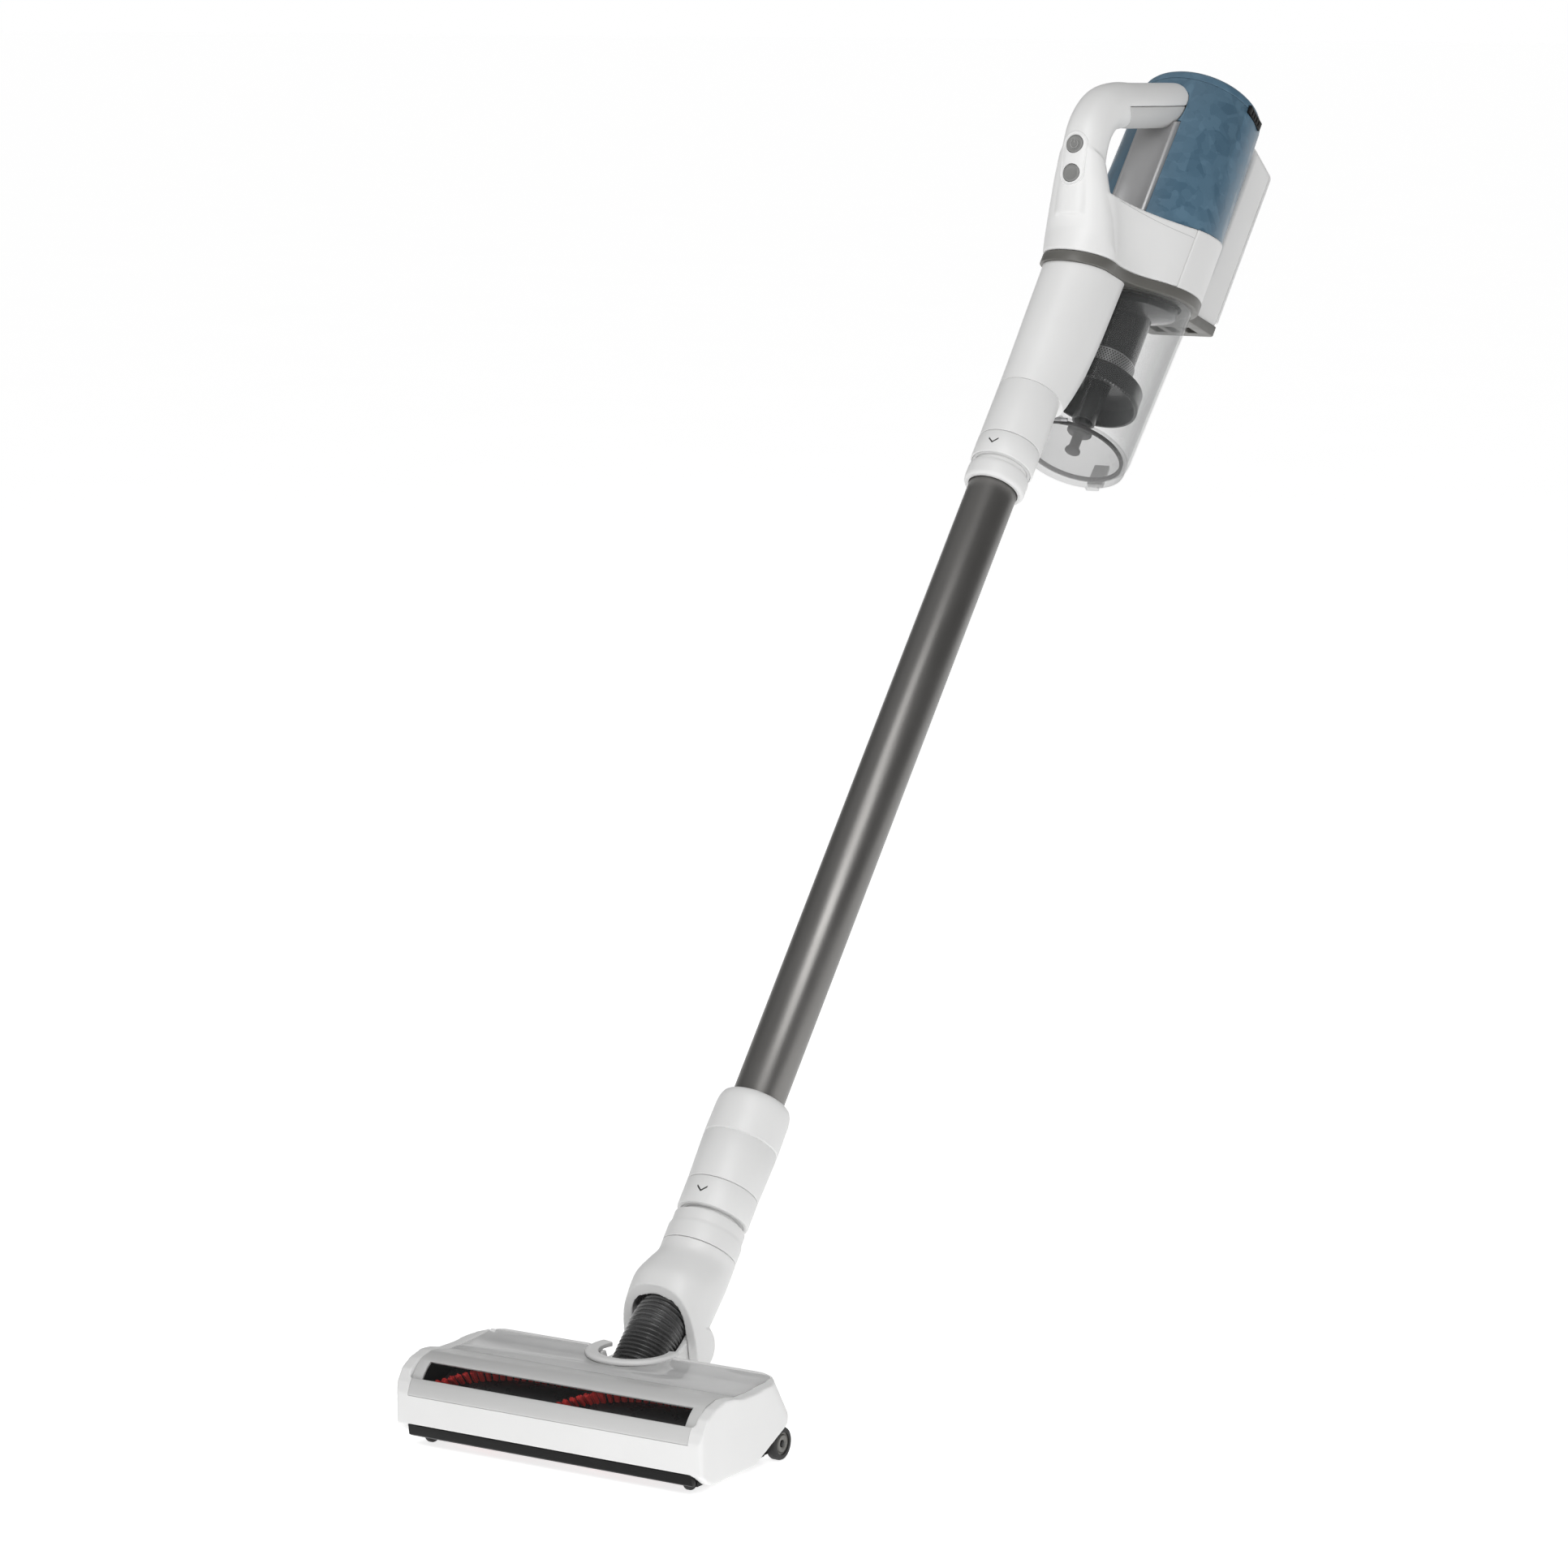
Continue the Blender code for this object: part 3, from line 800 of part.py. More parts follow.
def build():
    clear_scene()
    head = make_frame("head_frame", (0.0, HEAD_ORIGIN_Y, 0.0), 0.0)
    stick = make_frame("stick_frame", (0.0, HEAD_ORIGIN_Y, AXIS_Z), LEAN)
    build_housings(stick)
    build_battery(stick)
    build_buttons(stick)
    build_flange(stick)
    build_duct(stick)
    build_sleeve("upper_release_sleeve", UPPER_SLEEVE_LOW, UPPER_SLEEVE_HIGH, DUCT_R + 0.0001, stick)
    build_motor_unit(stick)
    build_bin(stick)
    build_tube(stick)
    build_sleeve("lower_release_sleeve", SLEEVE_LOW, SLEEVE_HIGH, LOW_SLEEVE_R, stick)
    build_neck(stick)
    build_hose(stick)
    build_head_body(head, stick)
    build_brush(head)
    build_wheels(head)


build()
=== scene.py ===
"""Looks of the cordless stick vacuum cleaner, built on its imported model.

Two working frames are used, as in the model:
  HEAD    x, y, z parallel to the world axes
  STICK   x, v, u with u up along the suction tube's axis and v to the rear, leaning back by LEAN
"""
import math
import random

import bmesh
import bpy
from mathutils import Matrix, Vector
from mathutils.bvhtree import BVHTree


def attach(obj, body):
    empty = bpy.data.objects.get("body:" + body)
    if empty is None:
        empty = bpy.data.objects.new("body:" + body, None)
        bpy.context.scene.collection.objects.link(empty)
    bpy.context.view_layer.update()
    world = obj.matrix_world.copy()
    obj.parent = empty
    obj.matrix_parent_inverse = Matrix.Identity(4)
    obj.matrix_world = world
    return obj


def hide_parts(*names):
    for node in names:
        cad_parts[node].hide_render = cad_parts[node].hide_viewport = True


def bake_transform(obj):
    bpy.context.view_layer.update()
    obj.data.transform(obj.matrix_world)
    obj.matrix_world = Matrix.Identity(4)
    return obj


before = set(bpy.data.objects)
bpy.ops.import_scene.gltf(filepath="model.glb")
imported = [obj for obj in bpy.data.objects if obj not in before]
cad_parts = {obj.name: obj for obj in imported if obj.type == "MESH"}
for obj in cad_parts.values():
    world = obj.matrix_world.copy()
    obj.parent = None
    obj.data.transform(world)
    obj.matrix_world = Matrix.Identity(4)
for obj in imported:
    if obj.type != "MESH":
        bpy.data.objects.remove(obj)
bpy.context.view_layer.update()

GAP = 0.0003
BEVEL_ANGLE = math.radians(32)
LEAN = math.radians(39.35)
HEAD_ORIGIN_Y, AXIS_Z = -0.3738, -0.0039
HEAD = Matrix.Translation((0.0, HEAD_ORIGIN_Y, 0.0))
STICK = Matrix.Translation((0.0, HEAD_ORIGIN_Y, AXIS_Z)) @ Matrix.Rotation(-LEAN, 4, "X")

TUBE_R, TUBE_WALL, COLLAR_R, LOW_SLEEVE_R = 0.0175, 0.0012, 0.0254, 0.0243
SLEEVE_LOW, SLEEVE_HIGH, COLLAR_SEAM, COLLAR_HIGH = 0.16, 0.1797, 0.214, 0.246
SEAT_R = 0.021
NECK_LOW, NECK_TOP = 0.1353, 0.2075
LIP_LOW, LIP_HIGH = 0.7305, 0.7445
SPIGOT_R, SOCKET_R, SPIGOT_TOP = 0.0186, 0.0189, 0.793
DUCT_R, DUCT_TOP_R, DUCT_LOW, DUCT_SEAM = 0.0224, 0.0242, 0.7484, 0.8107
UPPER_SLEEVE_LOW, UPPER_SLEEVE_HIGH = 0.7484, 0.7663

BIN_V = 0.077
BIN_CENTRE = (0.0, BIN_V)
FLANGE_U, FLANGE_SLOPE, FLANGE_T = 0.9273, 0.37, 0.0085
RIM_U, RIM_SLOPE, COWL_REAR_V = 0.9772, 0.395, 0.059
CAVITY_R = 0.0442
MOTOR_R_LOW, MOTOR_R_HIGH, MOTOR_WALL = 0.0485, 0.046, 0.0022
CAP_U, CAP_TOP = 1.1162, 1.132
SPINE_HALF, SPINE_V0, SPINE_V1 = 0.0152, 0.029, 0.0343
BAR_U, BAR_SLOPE = 1.0655, 0.79
HANDLE_HALF_X, HANDLE_HALF_D = 0.0148, 0.0165
BATTERY_V0, BATTERY_V1 = 0.1285, 0.161
BATTERY_TOP, BATTERY_HALF, BATTERY_CORNER = 1.129, 0.025, 0.0075
DOOR_T, SCREW_U = 0.0022, 1.116
BUTTON_R, BUTTON_NORMAL, POCKET_DEPTH = 0.0064, (-0.909, -0.416), 0.0078
MODE_AT, POWER_AT = (-0.052, 0.9655), (-0.0612, 0.984)
LATCH_V0, LATCH_V1, LATCH_U0, LATCH_U1 = 0.066, 0.088, 1.112, 1.1185
FRONT_R, REAR_R = 0.0268, 0.05

BIN_TOP_R, BIN_LOW_R, BIN_WALL, BIN_LOW = 0.0458, 0.0415, 0.002, 0.8193
LID_LOW, LID_HIGH, LID_R = 0.812, 0.819, 0.0405
HINGE_V, HINGE_U = 0.0367, 0.8165
CYCLONE_R, CUP_R, CUP_LOW, CUP_HIGH, SHOULDER_U = 0.0206, 0.034, 0.8604, 0.8764, 0.889

PIVOT_U, PIVOT_V = 0.072, 0.004
LOBE_R, LOBE_IN, LOBE_OUT, EAR_R, EAR_OUT = 0.0155, 0.0205, 0.0276, 0.0105, 0.02
HOSE_R, HOSE_WALL, RIB_DEPTH, RIB_PITCH = 0.018, 0.0024, 0.0015, 0.00305
HOSE_PATH = [(-0.018, 0.04), (-0.0165, 0.055), (-0.0146, 0.072), (-0.009, 0.09), (-0.003, 0.106),
             (-0.0005, 0.12)]

HEAD_HALF, CHEEK_IN = 0.11465, 0.1065
BRUSH_Y, BRUSH_Z, BRUSH_R, BRUSH_HALF = -0.058, 0.0272, 0.0252, 0.0925
REAR_WHEEL_Y, REAR_WHEEL_R, ROLLER_Y, ROLLER_R = 0.0085, 0.0105, -0.0742, 0.0068
RING_Y, RING_R = 0.0095, 0.031

CAMERA_AT, CAMERA_LENS = (1.7199, -2.9518, 0.9142), 116.2
CAMERA_AZIMUTH, CAMERA_DOWN = math.radians(31.86), math.radians(9.1)
FLOOR_HALF, FLOOR_Z = 60.0, -0.0003


# ---------------------------------------------------------------- materials

def node_tree(name):
    material = bpy.data.materials.new(name)
    material.use_nodes = True
    tree = material.node_tree
    return material, tree, tree.nodes["Principled BSDF"]


def feed(tree, socket, value):
    """Link another node's output to a socket, or set the socket to a number, vector or colour."""
    if hasattr(value, "is_linked"):
        tree.links.new(value, socket)
    else:
        socket.default_value = value


def add_node(tree, kind, **values):
    """New node; values are keyed by socket name, with underscores for spaces."""
    node = tree.nodes.new("ShaderNode" + kind)
    for name, value in values.items():
        feed(tree, node.inputs[name.replace("_", " ")], value)
    return node


def arithmetic(tree, operation, *values):
    node = tree.nodes.new("ShaderNodeMath")
    node.operation = operation
    for socket, value in zip(node.inputs, values):
        feed(tree, socket, value)
    return node.outputs[0]


def noise_node(tree, scale, detail=3.0, stretch=(1.0, 1.0, 1.0)):
    where = add_node(tree, "TexCoord")
    mapping = add_node(tree, "Mapping", Vector=where.outputs["Object"], Scale=stretch)
    return add_node(tree, "TexNoise", Vector=mapping.outputs["Vector"], Scale=scale,
                    Detail=detail).outputs["Fac"]


def spread(tree, value, low, high):
    """Map a texture's middle range onto low to high."""
    node = add_node(tree, "MapRange", Value=value, From_Min=0.3, From_Max=0.7, To_Min=low, To_Max=high)
    return node.outputs["Result"]


def mix(tree, blend, factor, first, second):
    node = tree.nodes.new("ShaderNodeMix")
    node.data_type, node.blend_type = "RGBA", blend
    for name, value in (("Factor", factor), ("A", first), ("B", second)):
        feed(tree, node.inputs[name], value)
    return node.outputs["Result"]


def shade_between(tree, value, dark, light):
    return mix(tree, "MIX", value, (*dark, 1.0), (*light, 1.0))


def bump(tree, shader, value, strength, distance):
    node = add_node(tree, "Bump", Height=value, Strength=strength, Distance=distance)
    tree.links.new(node.outputs["Normal"], shader.inputs["Normal"])


def surface(name, colour, roughness, vary=0.03, grain=2600.0, depth=0.00004, strength=0.25, metallic=0.0,
            stretch=(1.0, 1.0, 1.0), swing=0.05, coat=0.0, shine=0.5):
    """Moulded or metal surface: faint mottling, uneven gloss and a fine grain."""
    material, tree, shader = node_tree(name)
    shader.inputs["Metallic"].default_value = metallic
    shader.inputs["Coat Weight"].default_value = coat
    shader.inputs["Specular IOR Level"].default_value = shine
    shader.inputs["Coat Roughness"].default_value = 0.08
    mottle = spread(tree, noise_node(tree, 22.0, 4.0, stretch), 0.0, 1.0)
    dark = [c * (1.0 - vary) for c in colour]
    light = [min(1.0, c * (1.0 + vary)) for c in colour]
    tree.links.new(shade_between(tree, mottle, dark, light), shader.inputs["Base Color"])
    gloss = spread(tree, noise_node(tree, 130.0, 4.0, stretch), roughness - swing, roughness + swing)
    tree.links.new(gloss, shader.inputs["Roughness"])
    bump(tree, shader, noise_node(tree, grain, 2.0, stretch), strength, depth)
    return material


def clear(name, colour, roughness, thin, edge=0.75, ior=2.3, haze=0.03):
    """Clear moulded plastic: see-through face on, denser at grazing angles, with ripples and haze."""
    material, tree, shader = node_tree(name)
    shader.inputs["IOR"].default_value = ior
    mottle = spread(tree, noise_node(tree, 30.0, 3.0), 0.0, 1.0)
    tree.links.new(shade_between(tree, mottle, [c * 0.92 for c in colour], colour),
                   shader.inputs["Base Color"])
    gloss = spread(tree, noise_node(tree, 90.0, 5.0), roughness, roughness + haze)
    tree.links.new(gloss, shader.inputs["Roughness"])
    grazing = add_node(tree, "LayerWeight", Blend=0.32)
    density = add_node(tree, "MapRange", Value=grazing.outputs["Facing"], To_Min=thin, To_Max=edge)
    tree.links.new(density.outputs["Result"], shader.inputs["Alpha"])
    bump(tree, shader, noise_node(tree, 55.0, 1.0), 0.1, 0.0003)
    return material


def faceted_blue():
    """Slate blue moulding with a soft pattern of facets; its lighter and darker cells are painted highlight
    and shade, as if the facets caught the light differently.
    """
    material, tree, shader = node_tree("slate_blue_painted_facet_shade")
    where = add_node(tree, "TexCoord").outputs["Object"]
    cells = add_node(tree, "TexVoronoi", Vector=where, Scale=78.0)
    fine = add_node(tree, "TexVoronoi", Vector=where, Scale=135.0)
    fine.distance = "MANHATTAN"
    split, split_fine = [add_node(tree, "SeparateColor", Color=n.outputs["Color"]) for n in (cells, fine)]
    half = arithmetic(tree, "MULTIPLY", split.outputs["Green"], 0.5)
    both = arithmetic(tree, "MULTIPLY_ADD", split_fine.outputs["Red"], 0.5, half)
    # painted highlight and shade: the facet cells are coloured lighter and darker blue
    facet_shade_tone = shade_between(tree, both, (0.062, 0.128, 0.19), (0.112, 0.205, 0.285))
    tree.links.new(facet_shade_tone, shader.inputs["Base Color"])
    tree.links.new(spread(tree, both, 0.3, 0.42), shader.inputs["Roughness"])
    bump(tree, shader, cells.outputs["Distance"], 0.2, 0.0008)
    return material


WHITE = surface("white_satin", (0.8, 0.8, 0.795), 0.42, 0.012)
PALE = surface("pale_grey_satin", (0.6, 0.6, 0.595), 0.45, 0.02)
DECK = surface("deck_grey", (0.74, 0.74, 0.735), 0.38, 0.02)
BEZEL = surface("bezel_grey", (0.6, 0.6, 0.595), 0.34, 0.015)
SPINE = surface("spine_grey", (0.46, 0.46, 0.465), 0.34, 0.02, metallic=0.35)
KEY_GREY = surface("key_grey", (0.22, 0.22, 0.215), 0.32, 0.05, coat=0.3)
FLANGE = surface("flange_grey", (0.125, 0.122, 0.112), 0.4, 0.05)
TUBE = surface("anodised_tube", (0.215, 0.21, 0.203), 0.36, 0.03, grain=900.0, depth=0.00002, metallic=0.82,
               stretch=(1.0, 0.12, 0.12))
STEEL = surface("turned_steel", (0.52, 0.52, 0.53), 0.3, 0.05, grain=1500.0, metallic=1.0)
BLACK = surface("black_moulding", (0.006, 0.006, 0.006), 0.4, 0.15, shine=0.18)
RUBBER = surface("black_rubber", (0.02, 0.02, 0.02), 0.68, 0.2, grain=1800.0, depth=0.0001, strength=0.4)
HOSE = surface("hose_black", (0.045, 0.045, 0.045), 0.27, 0.12, coat=0.5)
CORE = surface("brush_core_grey", (0.022, 0.022, 0.023), 0.3, 0.1)
CYCLONE = surface("cyclone_grey", (0.022, 0.022, 0.022), 0.2, 0.08, coat=0.4)
SHROUD = surface("shroud_metal", (0.5, 0.5, 0.5), 0.34, 0.05, metallic=0.8)
RED = surface("red_bristles", (0.9, 0.045, 0.04), 0.62, 0.3, grain=5200.0, depth=0.0004, strength=0.9)
PRINT = surface("grey_print", (0.03, 0.03, 0.03), 0.5, 0.05)
BLUE = faceted_blue()
CLEAR = clear("clear_bin", (0.3, 0.31, 0.31), 0.04, 0.03, 0.55, 1.6)
WINDOW = clear("clear_window", (0.05, 0.05, 0.05), 0.03, 0.04, 0.3, 1.5)
COVER = clear("clear_cover", (0.8, 0.8, 0.8), 0.06, 0.16, 0.9)
LID = clear("clear_lid", (0.25, 0.25, 0.25), 0.06, 0.06, 0.7, 1.6)
FELT = surface("filter_felt", (0.72, 0.71, 0.66), 0.92, 0.08, grain=1400.0, depth=0.0005, strength=0.8)
BOARD = surface("green_board", (0.03, 0.2, 0.08), 0.5, 0.15)
CELL = surface("cell_wrap", (0.1, 0.35, 0.45), 0.35, 0.05, coat=0.3)


# ---------------------------------------------------------------- shapes

def skin(loops, closed=False):
    """Faces between loops of equal length; a one-point loop closes to a tip, end loops are capped."""
    bm = bmesh.new()
    rings = [[bm.verts.new(point) for point in loop] for loop in loops]
    pairs = list(zip(rings, rings[1:]))
    if closed:
        pairs.append((rings[-1], rings[0]))
    for low, high in pairs:
        count = max(len(low), len(high))
        for i in range(count):
            j = (i + 1) % count
            corners = [low[i % len(low)], low[j % len(low)], high[j % len(high)], high[i % len(high)]]
            bm.faces.new(list(dict.fromkeys(corners)))
    if not closed:
        for ring in (rings[0], rings[-1]):
            if len(ring) > 2:
                bm.faces.new(ring)
    return bm


def circle(radius, centre=(0.0, 0.0), count=128):
    return [(centre[0] + radius * math.sin(2 * math.pi * i / count),
             centre[1] - radius * math.cos(2 * math.pi * i / count)) for i in range(count)]


def turned(profile, centre=(0.0, 0.0), count=128, closed=False):
    loops = []
    for radius, height in profile:
        ring = circle(radius, centre, count) if radius > 0 else [centre]
        loops.append([(a, b, height) for a, b in ring])
    return skin(loops, closed)


def turned_x(profile, centre, count=72, closed=False):
    loops = []
    for radius, x in profile:
        ring = circle(radius, centre, count) if radius > 0 else [centre]
        loops.append([(x, a, b) for a, b in ring])
    return skin(loops, closed)


def soft(profile, radius=0.0004, steps=3):
    """Round the corners of a closed (r, h) profile."""
    points = [Vector(p) for p in profile]
    result = []
    for before, here, after in zip([points[-1]] + points[:-1], points, points[1:] + [points[0]]):
        a, b = before - here, after - here
        if a.length < 1e-7 or b.length < 1e-7 or a.angle(b) > math.radians(165):
            result.append(tuple(here))
            continue
        cut = min(radius, a.length * 0.45, b.length * 0.45)
        start, end = here + a.normalized() * cut, here + b.normalized() * cut
        for i in range(steps + 1):
            t = i / steps
            result.append(tuple((1 - t) ** 2 * start + 2 * t * (1 - t) * here + t * t * end))
    return result


def at_height(outline, height):
    return [(a, b, height(a, b) if callable(height) else height) for a, b in outline]


def bin_ring(radius, height, count=128):
    """Circle round the dust bin's axis; the height is a number or a function of the place."""
    return at_height(circle(radius, BIN_CENTRE, count), height)


def prism(outline, low, high):
    return skin([at_height(outline, low), at_height(outline, high)])


def prism_x(outline, x0, x1):
    return skin([[(x, a, b) for a, b in outline] for x in (x0, x1)])


def about(a, b, *offsets):
    """Profile points given as offsets from a corner."""
    return [(a + da, b + db) for da, db in offsets]


def rod(radius, x0, x1, centre, count=72):
    return turned_x([(0.0, x0), (radius, x0), (radius, x1), (0.0, x1)], centre, count)


def box(x0, x1, y0, y1, z0, z1):
    return prism([(x0, y0), (x1, y0), (x1, y1), (x0, y1)], z0, z1)


def arc(centre, radius, start, end, count):
    points = []
    for i in range(count + 1):
        angle = math.radians(start + (end - start) * i / count)
        points.append((centre[0] + radius * math.cos(angle), centre[1] + radius * math.sin(angle)))
    return points


def rounded_rectangle(x0, x1, y0, y1, low_r, high_r, steps=12):
    return (arc((x1 - low_r, y0 + low_r), low_r, -90, 0, steps)
            + arc((x1 - high_r, y1 - high_r), high_r, 0, 90, steps)
            + arc((x0 + high_r, y1 - high_r), high_r, 90, 180, steps)
            + arc((x0 + low_r, y0 + low_r), low_r, 180, 270, steps))


def between(a, b, c, d, t):
    """Point a share t of the way from b to c on a smooth curve through a, b, c and d."""
    return 0.5 * (2 * b + (c - a) * t + (2 * a - 5 * b + 4 * c - d) * t * t
                  + (3 * b - a - 3 * c + d) * t ** 3)


def smooth_path(points, steps):
    knots = [Vector(p) for p in points]
    knots = [2 * knots[0] - knots[1]] + knots + [2 * knots[-1] - knots[-2]]
    spans = zip(knots, knots[1:], knots[2:], knots[3:])
    return [between(*span, i / steps) for span in spans for i in range(steps)] + [knots[-2]]


def sweep(path, half_x, half_d, count=48, power=2.4):
    loops = []
    for i, point in enumerate(path):
        tangent = (path[min(i + 1, len(path) - 1)] - path[max(i - 1, 0)]).normalized()
        loop = []
        for k in range(count):
            angle = 2 * math.pi * k / count
            side = math.copysign(abs(math.sin(angle)) ** (2 / power), math.sin(angle)) * half_x
            depth = math.copysign(abs(math.cos(angle)) ** (2 / power), math.cos(angle)) * half_d
            loop.append((side, point[0] - tangent[1] * depth, point[1] + tangent[0] * depth))
        loops.append(loop)
    return skin(loops)


def keyhole(front_r, rear_r, waist_r, front_v=0.0):
    a, b, apart = front_r + waist_r, rear_r + waist_r, BIN_V - front_v
    waist_v = (a * a - b * b + apart * apart) / (2 * apart)
    waist_x = math.sqrt(a * a - waist_v * waist_v)
    front_end = math.degrees(math.atan2(waist_v, waist_x))
    rear_start = math.degrees(math.atan2(waist_v - apart, waist_x))
    points = arc((0.0, front_v), front_r, -90, front_end, 36)
    points += arc((waist_x, front_v + waist_v), waist_r, front_end + 180, 180 + rear_start, 24)[1:]
    return points, rear_start


def mirrored(right):
    return right + [(-x, v) for x, v in reversed(right) if abs(x) > 1e-9]


def full_outline(front_r, rear_r, waist_r, slab_half, slab_v):
    right, rear_start = keyhole(front_r, rear_r, waist_r)
    slab_end = math.degrees(math.acos(slab_half / rear_r))
    right += arc(BIN_CENTRE, rear_r, rear_start, slab_end, 36)[1:]
    right += arc((slab_half - 0.004, slab_v - 0.004), 0.004, 0, 90, 8)
    return mirrored(right)


def cowl_level(t):
    """Outline of the front housing at a share t of its height; its front leans towards the handle."""
    front_r, front_v, waist_r = 0.026 - 0.0027 * t ** 1.6, -0.024 * t ** 1.3, 0.045 + 0.115 * t ** 2.2
    right, rear_start = keyhole(front_r, 0.0495, waist_r, front_v)
    rear_end = math.degrees(math.asin((COWL_REAR_V - BIN_V) / 0.0495))
    outline = mirrored(right + arc(BIN_CENTRE, 0.0495, rear_start, rear_end, 8)[1:])
    return at_height(outline, lambda x, v: housing_low(x, v) + t * (rim_top(x, v) - housing_low(x, v)))


def flange_top(x, v):
    return FLANGE_U + FLANGE_SLOPE * v


def flange_low(x, v):
    return flange_top(x, v) - FLANGE_T


def bin_plane(x, v):
    return flange_low(x, v) - GAP


def housing_low(x, v):
    return flange_top(x, v) + GAP


def rim_top(x, v):
    return RIM_U + RIM_SLOPE * v


def bar_point(v, above=0.0):
    length = math.hypot(1.0, BAR_SLOPE)
    return (v - above * BAR_SLOPE / length, BAR_U + BAR_SLOPE * v + above / length)


def to_head(v, u):
    return (u * math.sin(LEAN) + v * math.cos(LEAN), AXIS_Z + u * math.cos(LEAN) - v * math.sin(LEAN))


# ---------------------------------------------------------------- pieces

def add_object(name, data):
    obj = bpy.data.objects.new(name, data)
    bpy.context.scene.collection.objects.link(obj)
    return obj


def raw(name, bm, place=STICK):
    bmesh.ops.recalc_face_normals(bm, faces=bm.faces)
    bm.transform(place)
    mesh = bpy.data.meshes.new(name)
    bm.to_mesh(mesh)
    bm.free()
    return add_object(name, mesh)


def bake(obj):
    """Apply the modifiers and drop their hidden tools."""
    tools = [m.object for m in obj.modifiers if m.type == "BOOLEAN"]
    graph = bpy.context.evaluated_depsgraph_get()
    mesh = bpy.data.meshes.new_from_object(obj.evaluated_get(graph))
    obj.modifiers.clear()
    old, obj.data = obj.data, mesh
    bpy.data.meshes.remove(old)
    for tool in tools:
        bpy.data.objects.remove(tool)
    return obj


def modify(obj, kind, **settings):
    modifier = obj.modifiers.new(kind.lower(), kind)
    for name, value in settings.items():
        setattr(modifier, name, value)


def cut(obj, bm, place=STICK, operation="DIFFERENCE"):
    tool = raw(obj.name + "_tool", bm, place)
    tool.hide_render = True
    modify(obj, "BOOLEAN", operation=operation, solver="EXACT", object=tool)


def join(obj, bm, place=STICK):
    cut(obj, bm, place, "UNION")


def melt(obj, voxel, rounds):
    """Even mesh with every edge and junction softened, as moulded plastic has."""
    bake(obj)
    modify(obj, "REMESH", mode="VOXEL", voxel_size=voxel)
    modify(obj, "SMOOTH", factor=0.5, iterations=rounds)
    bake(obj)


def bevel(obj, width, segments=3):
    bake(obj)
    modify(obj, "BEVEL", width=width, segments=segments, limit_method="ANGLE", angle_limit=BEVEL_ANGLE)
    bake(obj)


def done(obj, material, body, node=None, angle=40):
    """Finish a piece: shading, material, the body it rides on and the node it stands for."""
    if obj.modifiers:
        bake(obj)
    obj.data.shade_smooth()
    obj.data.set_sharp_from_angle(angle=math.radians(angle))
    obj.data.materials.clear()
    obj.data.materials.append(material)
    if body:
        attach(obj, body)
    if node:
        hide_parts(node)


# ---------------------------------------------------------------- camera, light and floor

def make_camera():
    flat = math.cos(CAMERA_DOWN)
    looking = Vector((-math.sin(CAMERA_AZIMUTH) * flat, math.cos(CAMERA_AZIMUTH) * flat,
                      -math.sin(CAMERA_DOWN)))
    data = bpy.data.cameras.new("camera")
    data.lens, data.sensor_width = CAMERA_LENS, 36.0
    data.clip_start, data.clip_end = 0.05, 400.0
    camera = add_object("camera", data)
    camera.location = CAMERA_AT
    camera.rotation_mode = "QUATERNION"
    camera.rotation_quaternion = looking.to_track_quat("-Z", "Y")
    bpy.context.scene.camera = camera


def area_light(name, azimuth, elevation, distance, size, power, aim=(0.0, 0.0, 0.42)):
    """Softbox round the object; azimuth 0 is in front (-Y) and 90 on the +X side."""
    a, e = math.radians(azimuth), math.radians(elevation)
    out = Vector((math.sin(a) * math.cos(e), -math.cos(a) * math.cos(e), math.sin(e)))
    data = bpy.data.lights.new(name, "AREA")
    data.shape, data.size, data.energy = "SQUARE", size, power
    light = add_object(name, data)
    light.location = Vector(aim) + out * distance
    light.visible_camera = False
    light.rotation_mode = "QUATERNION"
    light.rotation_quaternion = (-out).to_track_quat("-Z", "Y")


def brightness(tree, component, stops):
    """Grey ramp over a direction's component from -1 to 1."""
    node = add_node(tree, "ValToRGB", Fac=arithmetic(tree, "MULTIPLY_ADD", component, 0.5, 0.5))
    while len(node.color_ramp.elements) < len(stops):
        node.color_ramp.elements.new(0.5)
    for element, (position, level) in zip(node.color_ramp.elements, stops):
        element.position, element.color = position, (level, level, level, 1.0)
    return node.outputs["Color"]


def make_world():
    """Soft room, bright round the horizon and darker overhead and on both sides."""
    world = bpy.data.worlds.new("studio")
    bpy.context.scene.world = world
    world.use_nodes = True
    tree = world.node_tree
    split = add_node(tree, "SeparateXYZ", Vector=add_node(tree, "TexCoord").outputs["Generated"])
    height = ((0.0, 0.24), (0.46, 0.24), (0.485, 1.0), (0.53, 1.0), (0.58, 0.25), (1.0, 0.4))
    sideways = ((0.0, 0.45), (0.08, 0.6), (0.16, 1.0), (0.56, 1.0), (0.7, 0.34), (1.0, 0.3))
    light = [brightness(tree, split.outputs[axis], stops) for axis, stops in (("Z", height), ("X", sideways))]
    tree.links.new(mix(tree, "MULTIPLY", 1.0, *light), tree.nodes["Background"].inputs["Color"])


